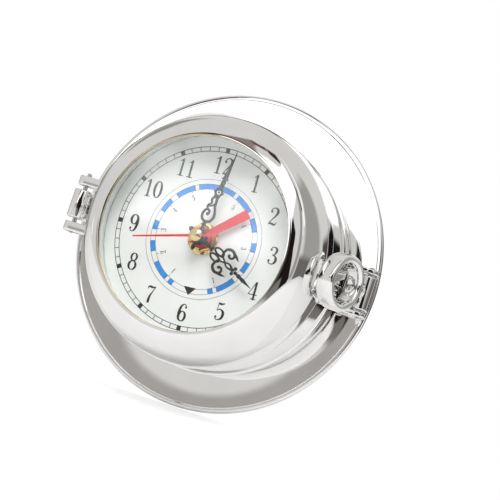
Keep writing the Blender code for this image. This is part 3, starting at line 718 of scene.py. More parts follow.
def make_back():
    """The back cover, countersunk for its screws, with a keyhole for a screw in the wall."""
    radius = high("back_plate", Z)
    thick = -low("back_plate", Y)
    eased = [(0, 0), (radius - 0.4, 0), (radius - 0.1, -0.12), (radius, -0.4), (radius, -thick), (0, -thick)]
    cover = turned("back_cover", eased, closed=False)
    cuts = []
    for number in SCREWS:
        x, z = middle(f"back_screw_{number}")
        sink = [(0, 1), (2.4, 1), (2.4, -1.2), (1.3, -1.2), (1.3, -4), (0, -4)]
        cuts.append(at_screw(turned("sink", sink, 48, closed=False), x, z))
        make_back_screw(number, x, z)
    head_z, slot_top, slot_half = 29, 38, 2.2
    hole = Field(-6, 6, 22, 42, 0.1)
    hole.dot(0, head_z, 4.5)
    hole.stroke([(0, head_z, slot_half), (0, slot_top, slot_half)], 0.5)
    cuts.append(plate("keyhole", hole.loops(), 12, 0.01, FACE_ON))
    settle(cut(cover, cuts), "case", "brass", ["back_plate"], TURNED_BRASS)


def make_back_screw(number, x, z):
    node = f"back_screw_{number}"
    front, tip = high(node, Y), low(node, Y)
    crest, root, pitch = 0.98, 0.8, 0.4
    y = front - 0.7
    profile = [(0, front), (1.2, front - 0.03), (1.75, front - 0.15), (2.0, front - 0.4), (2.0, y)]
    while y > tip + 1.0:
        profile += [(crest, y), (root, y - pitch / 2)]
        y -= pitch
    screw = turned(f"{node}_slotted", profile + [(0.6, tip + 0.5), (0, tip)], 32, closed=False)
    tool = bmesh.new()
    bmesh.ops.create_cube(tool, size=1)
    bmesh.ops.scale(tool, vec=(5, 0.8, 0.5), verts=tool.verts)
    bmesh.ops.rotate(tool, matrix=Matrix.Rotation(0.7 * number, 3, "Y"), verts=tool.verts)
    bmesh.ops.translate(tool, vec=(0, front, 0), verts=tool.verts)
    cut(screw, [finished("slot", tool)])
    settle(at_screw(screw, x, z), "case", "steel", [node])


# ---------------------------------------------------------------- bezel and glass


def make_bezel():
    """The ring with its bulge, the line of brass round its mouth, the glass, and the wall behind it."""
    widest = BEZEL_REAR - 8.0
    rear_r = BEZEL_R - 1.1
    edge = BEZEL_REAR - 0.5
    outside = [(rear_r - 0.7, BEZEL_REAR), (rear_r - 0.2, BEZEL_REAR - 0.15), (rear_r, edge)]
    steps = 12
    for step in range(1, steps):
        share = step / steps
        outside.append((BEZEL_R - (BEZEL_R - rear_r) * (1 - share) ** 1.8, edge + (widest - edge) * share))
    steps = 48
    for step in range(steps + 1):
        angle = math.pi / 2 * step / steps
        across = (BEZEL_R - BEZEL_MOUTH_R) * math.cos(angle)
        outside.append((BEZEL_MOUTH_R + across, widest + (BEZEL_FRONT - widest) * math.sin(angle)))
    inside = rounded(
        [
            (BEZEL_MOUTH_R, GLASS_FRONT - 1.0),
            (GLASS_R - 0.1, GLASS_FRONT - 1.0),
            (GLASS_R - 0.1, GLASS_FRONT - 0.1),
            (GLASS_R + 1.5, GLASS_FRONT - 0.1),
            (GLASS_R + 1.5, GLASS_REAR + 0.2),
            (GLASS_R + 2.3, GLASS_REAR + 0.2),
            (GLASS_R + 2.3, GLASS_REAR + 1.4),
            (GLASS_R + 2.6, GLASS_REAR + 1.4),
            (50.4, BEZEL_REAR - 19.0),
            (51.0, BEZEL_REAR),
        ],
        [0, 0.1, 0.1, 0.2, 0.1, 0.1, 0.1, 0.1, 3.0, 0.3],
        4,
    )
    settle(turned("bezel_ring", outside + inside, LARGE_ROUND), "bezel", "chrome", ["bezel"])
    seat = rounded(
        [
            (GLASS_R - 0.4, GLASS_FRONT - 0.2),
            (GLASS_R - 0.4, GLASS_FRONT - 0.8),
            (SEAT_MOUTH_R, GLASS_FRONT - 0.8),
            (SEAT_MOUTH_R, GLASS_FRONT - 0.2),
        ],
        [0.1, 0.1, 0.25, 0.25],
    )
    settle(turned("seat_ring", seat, LARGE_ROUND), "bezel", "brass", ["glass_seat_ring"], PALE_BRASS)
    eased = 0.3
    lens = [(0, GLASS_FRONT), (GLASS_R - eased, GLASS_FRONT), (GLASS_R, GLASS_FRONT + eased)]
    lens += [(GLASS_R, GLASS_REAR - eased), (GLASS_R - eased, GLASS_REAR), (0, GLASS_REAR)]
    settle(turned("lens", lens, LARGE_ROUND, closed=False, sharp=20), "bezel", "clear_glass", ["glass_lens"])
    wall_front = low("dial_surround_ring", Y)
    wall = rounded(
        [
            (46.5, DIAL_FACE - 0.3),
            (SPIGOT_R - 0.4, DIAL_FACE - 0.4),
            (SPIGOT_R - 0.4, DIAL_FACE - 1.3),
            (47.4, DIAL_FACE - 1.6),
            (44.2, wall_front),
            (43.3, wall_front),
        ],
        [0.1, 0.1, 0.1, 0.2, 0.3, 0.3],
    )
    settle(turned("dial_wall", wall, LARGE_ROUND), "case", "silver_wall", ["dial_surround_ring"])


def lug_section(x, half_y, mid_y, half_z, mid_z, corner, points=8):
    """A rounded rectangle across a lug at x."""
    corner = min(corner, 0.999 * half_y, 0.999 * half_z)
    ring = []
    for quarter, (sy, sz) in enumerate(((1, 1), (-1, 1), (-1, -1), (1, -1))):
        for step in range(points):
            angle = math.pi / 2 * (quarter + step / (points - 1))
            y = mid_y + sy * (half_y - corner) + corner * math.cos(angle)
            z = mid_z + sz * (half_z - corner) + corner * math.sin(angle)
            ring.append((x, y, z))
    return ring


def make_lugs():
    """The bezel's two lugs: round about the pin, then growing and flaring into the bezel's side."""
    reach = HINGE_X - low("bezel_lug_upper", X)
    flare_reach, flare = 5.0, 2.6
    sunk, overlap = 0.6, 1.6  # how far the lug reaches into the bezel
    corner_r = 0.75
    rear_run = 9  # from the pin to where the lug's rear meets the bezel's
    round_steps, straight_steps = 14, 22
    thinnest = 0.06
    for node in ("bezel_lug_upper", "bezel_lug_lower"):
        z_low, z_high = low(node, Z), high(node, Z)
        mid_z, half_z = (z_low + z_high) / 2, (z_high - z_low) / 2
        surface = -math.sqrt((BEZEL_R - sunk) ** 2 - mid_z**2)
        stations = [HINGE_X - reach * math.cos(math.pi / 2 * n / round_steps) for n in range(round_steps + 1)]
        inward = surface + overlap - HINGE_X
        stations += [HINGE_X + inward * n / straight_steps for n in range(1, straight_steps + 1)]
        sections = []
        for x in stations:
            outer = x < HINGE_X
            off = max(0.0, abs(x - HINGE_X) / reach) if outer else 0.0
            round_y = max(thinnest, math.sqrt(max(0.0, 1 - off * off)))
            near = min(1.0, max(0.0, 1 - (surface - x) / flare_reach))
            swell = flare * (1 - math.sqrt(max(0.0, 1 - near * near)))
            front = HINGE_Y - reach * round_y - 0.6 * max(0.0, x - HINGE_X) / 13 - 0.9 * swell
            rear = HINGE_Y + reach * round_y if outer else HINGE_Y + reach
            if x > HINGE_X:
                share = min(1.0, (x - HINGE_X) / rear_run)
                share = share * share * (3 - 2 * share)
                rear += (BEZEL_REAR - 0.55 - rear) * share
            half_y, mid_y = (rear - front) / 2, (rear + front) / 2
            sections.append(lug_section(x, half_y, mid_y, half_z + swell, mid_z, corner_r))
        lug = lofted(f"{node}_cast", sections)
        settle(cut(lug, [pin_hole(HINGE_X, HINGE_Y)]), "bezel", "chrome", [node])


# ---------------------------------------------------------------- hinge bracket and pin


def make_hinge():
    """The knuckle between the lugs, its hollowed web on the neck, and the pin."""
    knuckle_r = HINGE_X - low("hinge_bracket", X)
    half_z = high("hinge_bracket", Z)
    web_x, web_rise, web_slope = -66.5, 5.2, 0.42
    hollow_x = (HINGE_X - NECK_R) / 2 + 2.0
    hollow_y = HINGE_Y - 2.3
    hollow_r = 6.0
    plan = Field(-74, -52, -27, -4, 0.12)
    plan.dot(HINGE_X, HINGE_Y, knuckle_r)
    slope = plan.z - (HINGE_Y + web_rise) - web_slope * (plan.x - web_x)
    web = np.maximum(np.maximum(web_x - plan.x, slope), hollow_y - plan.z)
    plan.add(np.maximum(web, -plan.ball(hollow_x, hollow_y, hollow_r)), 1.2)
    plan.keep(plan.x + NECK_R - 0.6)
    plan.bore(BRACKET_HOLE_R, HINGE_X, HINGE_Y)
    bracket = plate("hinge_knuckle", plan.loops(EVEN_ROUNDS), 2 * half_z, 0.55, Matrix.Identity(4))
    settle(bracket, "case", "chrome", ["hinge_bracket"])
    top, bottom = high("hinge_pin", Z), low("hinge_pin", Z)
    radius = HINGE_X - low("hinge_pin", X)
    crown, steps = 0.9, 6
    profile = [(0, top)]
    for step in range(1, steps + 1):
        angle = math.pi / 2 * step / steps
        profile.append((radius * math.sin(angle), top - crown * (1 - math.cos(angle))))
    profile += [(radius, bottom + 0.3), (radius - 0.3, bottom), (0, bottom)]
    pin = standing(turned("hinge_pin_turned", profile, 48, closed=False), HINGE_X, HINGE_Y)
    settle(pin, "case", "steel", ["hinge_pin"])


# ---------------------------------------------------------------- dog


def make_dog():
    """The fork of two ears on a foot, the pin, and what swings on it."""
    ear_out = high("dog_bracket", Z)
    ear_thick = 2.2
    ear_r = high("dog_bracket", X) - DOG_X
    plan = Field(50, 76, -20, 0, 0.12)
    behind, before = 0.04, 0.27
    wedge = np.maximum(plan.z - (DOG_Y + ear_r) - behind * (DOG_X - plan.x), plan.x - DOG_X)
    wedge = np.maximum(wedge, (DOG_Y - ear_r) - before * (DOG_X - plan.x) - plan.z)
    plan.dot(DOG_X, DOG_Y, ear_r)
    plan.add(wedge, 0.6)
    plan.keep(NECK_R - 2.2 - plan.x)
    plan.bore(BRACKET_HOLE_R, DOG_X, DOG_Y)
    loops = plan.loops(EVEN_ROUNDS)
    ear_z = ear_out - ear_thick / 2
    for name, mid_z in (("dog_ear_upper", ear_z), ("dog_ear_lower", -ear_z)):
        ear = plate(name, loops, ear_thick, 0.45, Matrix.Translation((0, 0, mid_z * MM)))
        settle(ear, "case", "chrome", ["dog_bracket"])
    foot = Field(50, 60, -18, -2, 0.12)
    foot_x, foot_y, half_x, half_y = 54, -9.85, 3.5, 6.35
    foot.add(np.maximum(np.abs(foot.x - foot_x) - half_x, np.abs(foot.z - foot_y) - half_y))
    base = plate("dog_foot", foot.loops(), 2 * ear_out, 0.5, Matrix.Identity(4))
    settle(base, "case", "chrome")
    half = high("dog_pivot_pin", Z)
    radius = high("dog_pivot_pin", X) - DOG_X
    profile = [(0, half), (radius * 0.7, half - 0.05), (radius, half - 0.35)]
    profile += [(r, -y) for r, y in reversed(profile)]
    pin = standing(turned("dog_pin_turned", profile, 40, closed=False), DOG_X, DOG_Y)
    settle(pin, "case", "steel", ["dog_pivot_pin"])
    make_swing_bolt()
    make_hoop()


def bolt_frame():
    """From a frame with the bolt along -Y through the origin to the clock's own."""
    lean = math.atan2(BOLT_WAY[0], BOLT_WAY[1])
    lean = lean - math.copysign(math.pi, lean) if abs(lean) > math.pi / 2 else lean
    return Matrix.Translation((DOG_X * MM, DOG_Y * MM, 0)) @ Matrix.Rotation(-lean, 4, "Z")


def make_swing_bolt():
    half = high("swing_bolt", Z)
    barrel_r = 3.6
    profile = rounded([(0, half), (barrel_r, half), (barrel_r, -half), (0, -half)], [0, 0.7, 0.7, 0])
    barrel = standing(turned("bolt_barrel", profile, 96, closed=False), 0, 0)
    settle(moved(cut(barrel, [pin_hole(0, 0)]), bolt_frame()), "swing_bolt", "chrome", ["swing_bolt"])
    crest, root, pitch = 1.55, 1.28, 0.7
    y = -4.0
    thread = [(0, y + 1.0), (crest, y + 1.0), (crest, y)]
    while y > -9.0:
        thread += [(crest, y - 0.12), (root, y - 0.35), (root, y - 0.42), (crest, y - 0.6)]
        y -= pitch
    thread += [(1.2, -9.4), (0, -9.4)]
    settle(moved(turned("bolt_thread", thread, 40, closed=False), bolt_frame()), "swing_bolt", "chrome")


def make_hoop():
    """The finger hoop, of a nearly square section with round corners, and its collar on the bolt."""
    centre, outer, hole_r, half_thick = 20.0, 12.6, 8.75, 4.25
    middle_r, half_band = (outer + hole_r) / 2, (outer - hole_r) / 2
    section = []
    steps = 48
    for step in range(steps):
        angle = TURN * step / steps
        across, along = math.cos(angle), math.sin(angle)
        wide = math.copysign(abs(across) ** 0.72, across)
        deep = math.copysign(abs(along) ** 0.62, along)
        section.append((middle_r + half_band * wide, half_thick * deep))
    ring = turned("hoop_ring", section, 160)
    moved(ring, Matrix.Translation((0, -centre * MM, 0)) @ Matrix.Rotation(math.pi / 2, 4, "Z"))
    settle(moved(ring, bolt_frame()), "hoop_nut", "chrome", ["hoop_nut"])
    bore, collar_r, flare = 1.9, 3.2, 0.9
    start, end = -4.2, -(centre - middle_r) - 0.6
    profile = [(bore, start + 0.4), (bore, start), (collar_r - 0.3, start), (collar_r, start - 0.3)]
    steps = 8
    for step in range(steps + 1):
        share = step / steps
        profile.append((collar_r + flare * share**3, start - 0.6 + (end - start + 0.6) * share))
    profile.append((bore, end))
    settle(moved(turned("hoop_collar", profile, 96), bolt_frame()), "hoop_nut", "chrome")


# ---------------------------------------------------------------- dial print


def bowl(cx, cz, rx, rz, thick, thin, start=0, sweep=360, steps=20):
    """An oval stroke, thick at its sides as in a book face. Angles are clockwise from the top."""
    points = []
    for step in range(steps + 1):
        angle = math.radians(start + sweep * step / steps)
        side = abs(math.sin(angle)) ** 1.4
        points.append((cx + rx * math.sin(angle), cz + rz * math.cos(angle), thin + (thick - thin) * side))
    return points


SIX = [
    [
        (0.44, 0.84, 0.02), (0.38, 0.95, 0.02), (0.28, 0.98, 0.022), (0.15, 0.87, 0.045),
        (0.085, 0.62, 0.06), (0.075, 0.36, 0.062), (0.12, 0.13, 0.05), (0.27, 0.022, 0.022),
    ],
    bowl(0.285, 0.30, 0.19, 0.275, 0.06, 0.02),
    [(0.42, 0.82, 0.052), (0.421, 0.821, 0.052)],
]
DIGITS = {
    "0": [bowl(0.28, 0.5, 0.2, 0.475, 0.062, 0.02)],
    "1": [
        [(0.28, 0.03, 0.052), (0.28, 0.95, 0.052)],
        [(0.27, 0.95, 0.028), (0.19, 0.87, 0.022), (0.10, 0.84, 0.016)],
        [(0.10, 0.018, 0.018), (0.46, 0.018, 0.018)],
    ],
    "2": [
        [
            (0.07, 0.76, 0.03), (0.12, 0.91, 0.025), (0.27, 0.98, 0.024), (0.42, 0.91, 0.05),
            (0.46, 0.75, 0.06), (0.39, 0.56, 0.045), (0.23, 0.33, 0.028), (0.08, 0.09, 0.02),
        ],
        [
            (0.07, 0.04, 0.025), (0.2, 0.085, 0.045), (0.36, 0.045, 0.05),
            (0.46, 0.08, 0.025), (0.5, 0.22, 0.012),
        ],
        [(0.105, 0.74, 0.052), (0.106, 0.741, 0.052)],
    ],
    "3": [
        [
            (0.07, 0.83, 0.02), (0.13, 0.94, 0.022), (0.26, 0.98, 0.024), (0.4, 0.9, 0.05),
            (0.42, 0.75, 0.055), (0.34, 0.58, 0.03), (0.22, 0.53, 0.018),
        ],
        [
            (0.22, 0.53, 0.018), (0.37, 0.49, 0.034), (0.47, 0.35, 0.06), (0.46, 0.17, 0.06),
            (0.35, 0.045, 0.03), (0.23, 0.02, 0.022), (0.1, 0.07, 0.02), (0.05, 0.18, 0.02),
        ],
        [(0.1, 0.8, 0.05), (0.101, 0.801, 0.05)],
        [(0.09, 0.19, 0.055), (0.091, 0.191, 0.055)],
    ],
    "4": [
        [(0.37, 0.02, 0.052), (0.37, 0.95, 0.052)],
        [(0.34, 0.97, 0.018), (0.03, 0.28, 0.016)],
        [(0.02, 0.27, 0.02), (0.53, 0.27, 0.02)],
        [(0.22, 0.018, 0.018), (0.51, 0.018, 0.018)],
    ],
    "5": [
        [(0.13, 0.93, 0.04), (0.26, 0.91, 0.05), (0.4, 0.95, 0.03), (0.45, 0.985, 0.012)],
        [(0.11, 0.97, 0.016), (0.095, 0.52, 0.016)],
        [
            (0.095, 0.52, 0.016), (0.18, 0.595, 0.022), (0.31, 0.605, 0.03), (0.45, 0.49, 0.06),
            (0.48, 0.31, 0.066), (0.42, 0.12, 0.05), (0.26, 0.022, 0.022), (0.12, 0.04, 0.02),
            (0.06, 0.14, 0.02),
        ],
        [(0.09, 0.17, 0.052), (0.091, 0.171, 0.052)],
    ],
    "6": SIX,
    "7": [
        [
            (0.045, 0.78, 0.014), (0.07, 0.9, 0.03), (0.19, 0.925, 0.052),
            (0.34, 0.9, 0.04), (0.49, 0.965, 0.016),
        ],
        [(0.485, 0.96, 0.016), (0.36, 0.65, 0.026), (0.25, 0.36, 0.05), (0.235, 0.065, 0.065)],
    ],
    "8": [
        bowl(0.28, 0.755, 0.165, 0.215, 0.05, 0.02),
        bowl(0.28, 0.275, 0.205, 0.25, 0.058, 0.02),
    ],
    "9": [[(0.55 - x, 1 - z, w) for x, z, w in stroke] for stroke in SIX],
}
ADVANCE = {"1": 0.56}  # how wide a digit stands, as a share of its height, where it isn't USUAL_ADVANCE
USUAL_ADVANCE = 0.62


def number_loops(text, x, z, height, angle=0.0, weight=1.0):
    """Outlines of a number centred on (x, z) and turned clockwise by angle."""
    widths = [ADVANCE.get(digit, USUAL_ADVANCE) for digit in text]
    start = -sum(widths) / 2
    loops = []
    turn = math.radians(angle)
    for digit, width in zip(text, widths):
        glyph = Field(-0.1, 0.68, -0.1, 1.1, 0.0125)
        for stroke in DIGITS[digit]:
            glyph.add(glyph.trail([(px, pz, w * weight) for px, pz, w in stroke], 6), 0.012)
        for loop in glyph.loops():
            across = (loop[:, 0] + start) * height
            up = (loop[:, 1] - 0.5) * height
            placed_x = x + across * math.cos(turn) + up * math.sin(turn)
            placed_z = z - across * math.sin(turn) + up * math.cos(turn)
            loops.append(np.stack([placed_x, placed_z], 1))
        start += width
    return loops


def arc_band(inner, outer, start, end, steps=0):
    """A loop round part of a ring, in degrees clockwise from 12 o'clock."""
    steps = steps or max(2, int(abs(end - start) / 1.5))
    angles = [start + (end - start) * step / steps for step in range(steps + 1)]
    return [clock_point(a, outer) for a in angles] + [clock_point(a, inner) for a in reversed(angles)]


def ring_loops(radius, half_width):
    """Two loops that bound a thin circle."""
    return [
        [clock_point(360 * step / 240, radius + side * half_width) for step in range(240)] for side in (1, -1)
    ]


def printed(name, loop_groups, material, level=1):
    """Thin ink on the dial. Each group of loops is filled on its own, so that groups may touch."""
    joined = bmesh.new()
    thick, gap, level_rise = 0.03, 0.02, 0.035
    y = DIAL_FACE - gap - level_rise * level
    turn = Matrix.Rotation(math.radians(DIAL_TURN), 4, "Y")
    place = turn @ Matrix.Translation((0, y * MM, 0)) @ FACE_ON
    for loops in loop_groups:
        data = flat_mesh(loops, thick, 0.0, place)
        joined.from_mesh(data)
        bpy.data.meshes.remove(data)
    data = bpy.data.meshes.new(name)
    joined.to_mesh(data)
    joined.free()
    settle(linked(name, data), "case", "dial_white", (), material)


def make_print():
    """The minute track, the numbers and the tide ring with its scale. Angles are degrees from 12 o'clock."""
    track_in, track_out, line_half = 39.3, 41.3, 0.14
    groups = [ring_loops(track_in, line_half), ring_loops(track_out, line_half)]
    tick_half = 0.15 / track_out * 180 / math.pi
    block_half, overlap = 1.35, 0.05
    for minute in range(60):
        angle = 6 * minute
        if minute % 5:
            groups.append([arc_band(track_in, track_out, angle - tick_half, angle + tick_half, 2)])
        else:
            ends = (angle - block_half, angle + block_half)
            groups.append([arc_band(track_in - overlap, track_out + overlap, *ends, 4)])
    for hour in range(1, 13):
        x, z = clock_point(30 * hour, 33.4)
        groups.append(number_loops(str(hour), x, z, 7.8, 0, 1.18))
    printed("minute_track_and_numbers", groups, BLACK_INK)

    segments = [(-21, 21)]
    for start, end in ((25.5, 47), (55, 70), (82, 91.5), (104, 115.5), (128, 149), (153.5, 159)):
        segments += [(start, end), (-end, -start)]
    inner, outer = 22.3, 24.6
    printed("tide_ring_blue", [[arc_band(inner, outer, *segment)] for segment in segments], BLUE_INK, 0)
    lines = [ring_loops(radius, 0.07) for radius in (inner, outer, 26.7)]
    for start, end in segments:
        for angle in (start, end):
            lines.append([arc_band(inner, outer, angle - 0.16, angle + 0.16, 2)])
    for side in (-1, 1):
        for hour in range(1, 6):
            angle = side * (180 - 30 * hour)
            lines.append([arc_band(21.2, inner, angle - 0.2, angle + 0.2, 2)])
            x, z = clock_point(angle, 19.2)
            lines.append(number_loops(str(hour), x, z, 2.5, angle, 1.15))
    lines.append([[clock_point(172.5, 22.0), clock_point(187.5, 22.0), clock_point(180, 25.4)]])
    printed("tide_scale_lines", lines, BLACK_INK)


# ---------------------------------------------------------------- hands


HUBS = {  # of each hand: its hub's radius, its bore's radius and its blade's thickness
    "tide_hand": (4.4, 3.1, 0.45),
    "hour_hand": (3.4, 2.3, 0.45),
    "minute_hand": (2.6, 1.5, 0.45),
    "second_hand": (1.7, 0.7, 0.32),
}
BOLD = 0.07  # how much the curls of the hands are drawn heavier on each side


def hand_piece(name, field, angle, node, slot_name, bevel=0.1):
    """A hand from its field, as thick as its blade and turned to its rest angle, on its hub."""
    front, rear = low(node, Y), high(node, Y)
    hub_r, bore, blade = HUBS[node]
    turn = Matrix.Rotation(math.radians(angle + DIAL_TURN), 4, "Y")
    place = turn @ Matrix.Translation((0, (front + blade / 2) * MM, 0)) @ FACE_ON
    settle(plate(name, field.loops(), blade, bevel, place, 50), node, slot_name, [node])
    hub = [(bore, rear), (hub_r - 0.2, rear), (hub_r, rear - 0.15)]
    hub += [(hub_r, front + 0.02), (bore, front + 0.02)]
    settle(turned(f"{name}_hub", hub, 64), node, slot_name)


def mirrored(points, side):
    return [(side * x, z, w) for x, z, w in points]


def make_minute_hand():
    f = Field(-5, 5, -8, 41, 0.09)
    soft = 0.35
    f.dot(0, 0, 2.8)
    f.stroke([(0, -2, 0.6), (0, -3.6, 0.5), (0, -5, 0.95), (0, -6.2, 0.4)], soft)
    f.stroke([(0, 2, 1.1), (0, 4.4, 0.7), (0, 6.8, 0.85)], soft)
    f.stroke([(-1.0, 5.6, 0.32), (1.0, 5.6, 0.32)], 0.2)
    right = [(0.2, 6.9, 0.6), (2.0, 8.0, 0.5), (2.75, 10.2, 0.55), (2.1, 12.6, 0.5)]
    right += [(1.2, 14.6, 0.5), (0.9, 16.6, 0.55), (0.5, 18.6, 0.6)]
    f.stroke(right, 0.2, BOLD)
    left = [(-0.2, 6.9, 0.6), (-2.1, 8.0, 0.5), (-2.7, 10.2, 0.5), (-1.9, 12.1, 0.45)]
    left += [(-0.4, 12.2, 0.42), (-0.1, 10.9, 0.4)]
    f.stroke(left, 0.15, BOLD)
    f.dot(-0.55, 10.5, 0.75, 0.15)
    vine = [(-1.5, 12.3, 0.42), (-2.0, 14.0, 0.42), (-0.9, 15.6, 0.42), (-1.5, 17.2, 0.45)]
    f.stroke(vine + [(-0.5, 18.8, 0.5)], 0.15, BOLD)
    f.stroke([(-2.0, 14.0, 0.35), (-0.6, 14.2, 0.35), (0.9, 15.6, 0.4)], 0.15)
    rosette = 20.9
    f.add(np.abs(f.ball(0, rosette, 1.5)) - 0.5, 0.25)
    f.dot(0, rosette, 0.5, 0.05)
    for angle in range(30, 390, 60):
        x, z = clock_point(angle, 2.1)
        f.dot(x, rosette + z, 0.42, 0.2)
    f.stroke([(0, 22.7, 0.55), (0, 23.6, 0.95), (0, 25.6, 1.05), (0, 26.7, 0.75)], 0.2)
    f.stroke([(-1.35, 27.2, 0.36), (1.35, 27.2, 0.36)], 0.15)
    f.stroke([(0, 27.6, 1.05), (0, 29.5, 0.95), (0, 34.0, 0.5), (0, 39.3, 0.14)], 0.15)
    hand_piece("minute_hand_serpentine", f.bore(1.5), 10.5, "minute_hand", "hand_black")


def make_hour_hand():
    f = Field(-8, 8, -8, 35, 0.09)
    f.dot(0, 0, 3.6)
    f.stroke([(0, -2.5, 0.8), (0, -4.0, 0.6), (0, -5.2, 1.15), (0, -6.2, 0.5)], 0.35)
    f.stroke([(0, 3, 1.25), (0, 5.4, 0.75), (0, 8.0, 0.6)], 0.35)
    f.stroke([(-0.9, 8.2, 0.35), (0.9, 8.2, 0.35)], 0.15)
    curl = [(0.8, 13.9, 0.4), (2.6, 13.3, 0.42), (4.6, 13.4, 0.5), (5.9, 15.2, 0.58)]
    curl += [(5.6, 17.3, 0.55), (4.1, 18.2, 0.45), (2.9, 17.2, 0.4), (3.2, 15.9, 0.42)]
    horn = [(5.7, 17.0, 0.5), (5.2, 18.9, 0.5), (4.4, 20.9, 0.1)]
    crossing = [(1.3, 14.0, 0.32), (0.3, 16.2, 0.3), (-0.9, 18.6, 0.3), (-0.3, 21.2, 0.4)]
    for side in (-1, 1):
        oval = []
        for step in range(17):
            angle = math.radians(360 * step / 16)
            oval.append((side * (1.6 + 1.25 * math.sin(angle)), 11.6 - 2.5 * math.cos(angle), 0.36))
        f.stroke(oval, 0.1, BOLD)
        f.stroke(mirrored(curl, side), 0.1, BOLD)
        f.dot(side * 3.45, 16.0, 0.62, 0.1)
        f.stroke(mirrored(horn, side), 0.15, BOLD)
        f.stroke(mirrored(crossing, side), 0.1, BOLD)
        f.dot(side * 1.35, 22.3, 0.8, 0.2)
    f.dot(0, 21.6, 0.75, 0.2)
    f.dot(0, 23.4, 0.8, 0.2)
    f.stroke([(0, 23.8, 0.5), (0, 25.0, 0.45)], 0.2)
    f.dot(0, 25.6, 1.0, 0.15)
    f.stroke([(0, 26.4, 0.5), (0, 28.0, 0.85), (0, 30.4, 0.5), (0, 33.3, 0.12)], 0.15)
    hand_piece("hour_hand_serpentine", f.bore(2.3), 120, "hour_hand", "hand_black")


def make_red_hands():
    f = Field(-7, 7, -7, 25, 0.09)
    length = 23.5
    f.dot(0, 0, 4.6)
    f.add(np.maximum(np.abs(f.x) - (1.45 + 0.75 * f.z / length), np.maximum(-f.z, f.z - length)), 0.3)
    hand_piece("tide_hand_bar", f.bore(3.1), 51, "tide_hand", "hand_red")
    f = Field(-3, 3, -11, 31, 0.07)
    f.dot(0, 0, 1.8)
    f.stroke([(0, 0, 0.62), (0, 29.5, 0.3)], 0.2)
    f.stroke([(0, 0, 0.62), (0, -5.4, 0.62), (0, -7.2, 1.0), (0, -8.2, 1.0)], 0.3)
    hand_piece("second_hand_needle", f.bore(0.65), 257, "second_hand", "hand_red", 0.06)


def make_centre():
    top, rear = low("second_hand_cap", Y), high("second_hand_cap", Y)
    radius = high("second_hand_cap", Z)
    tip_r, steps = 0.8, 8
    profile = [(0, top), (0.55, top + 0.04)]
    for step in range(1, steps + 1):
        share = step / steps
        y = top + 0.06 + (rear - 1.25 - top) * share**1.25
        profile.append((tip_r + (radius - tip_r) * share**0.8, y))
    profile += [(radius, rear - 0.9), (radius - 0.05, rear - 0.8)]
    profile += [(0.9, rear - 0.8), (0.9, rear), (0, rear)]
    settle(turned("second_cap_cone", profile, 64, closed=False), "second_hand", "brass", ["second_hand_cap"])
    front, back = low("centre_nut", Y), high("centre_nut", Y)
    across = high("centre_nut", Z)
    nut = Field(-8, 8, -8, 8, 0.1)
    hexagon = np.full(nut.x.shape, -FAR)
    for side in range(3):
        nx, nz = clock_point(60 * side + 30, 1)
        hexagon = np.maximum(hexagon, np.abs(nut.x * nx + nut.z * nz) - across * math.cos(math.pi / 6))
    nut.add(np.maximum(hexagon, nut.ball(0, 0, across - 0.25)))
    nut.bore(4.3)
    place = Matrix.Translation((0, (front + back) / 2 * MM, 0)) @ FACE_ON
    piece = plate("centre_nut_hex", nut.loops(), back - front, 0.2, place)
    settle(piece, "case", "brass", ["centre_nut"])


# ---------------------------------------------------------------- studio and camera


# The camera was fitted to the circles and hour marks of the photographed clock, then adjusted.
CAMERA_AZIMUTH = 20.446  # degrees to the right of straight in front
CAMERA_RISE = 4.808  # degrees by which the camera looks up
CAMERA_ROLL = 18.661  # degrees
CAMERA_DISTANCE = 1.05718  # metres
CAMERA_AIM = Vector((0.009655, 0, 0.004363))
LENS = 169.94  # millimetres
FLOOR_GLOW = 0.13  # what the floor gives off
FLOOR_GLOW_SEEN = 0.52  # and how strong that looks to the camera
FLOOR_FALL = 11.0  # degrees by which the floor drops away in front, because the clock leans back


def make_camera():
    azimuth, rise, roll = (math.radians(v) for v in (CAMERA_AZIMUTH, CAMERA_RISE, CAMERA_ROLL))
    level = Vector((math.cos(azimuth), math.sin(azimuth), 0))
    across, along = math.sin(azimuth) * math.cos(rise), math.cos(azimuth) * math.cos(rise)
    forward = Vector((-across, along, math.sin(rise)))
    upward = level.cross(forward)
    right = level * math.cos(roll) + upward * math.sin(roll)
    up = upward * math.cos(roll) - level * math.sin(roll)
    turn = Matrix((right, up, -forward)).transposed().to_4x4()
    data = bpy.data.cameras.new("camera")
    data.lens = LENS
    data.sensor_width = 36
    camera = linked("camera", data)
    camera.matrix_world = Matrix.Translation(CAMERA_AIM - forward * CAMERA_DISTANCE) @ turn
    bpy.context.scene.camera = camera


def make_floor():
    """A pale ridge: it falls away in front of the flange's lowest point, and is level behind it."""
    mesh = bmesh.new()
    base = -(FLANGE_R + 0.35)
    fall = math.tan(math.radians(FLOOR_FALL))
    rows = []
    for y in (-2500, -1000, -300, -60, -20, -8, -3, 0, 3, 10, 60, 700):
        drop = max(0.0, -y) * fall
        rows.append([mesh.verts.new((x, y, base - drop)) for x in (-2500, -300, 0, 300, 2500)])
    for first, second in zip(rows, rows[1:]):
        for i in range(4):
            mesh.faces.new((first[i], first[i + 1], second[i + 1], second[i]))
    floor = finished("floor", mesh)
    made = Finish("floor_white", 0.8, Specular_IOR_Level=0.1)
    made.tint(made.noise(3, 2), (0.74, 0.74, 0.74), (0.76, 0.76, 0.76))
    made.shader.inputs["Emission Color"].default_value = (1, 1, 1, 1)
    seen = made.node("LightPath").outputs["Is Camera Ray"]
    glow = made.spread(seen, FLOOR_GLOW, FLOOR_GLOW_SEEN, 0, 1)
    made.link(glow, made.shader.inputs["Emission Strength"])
    floor.data.materials.append(made.material)
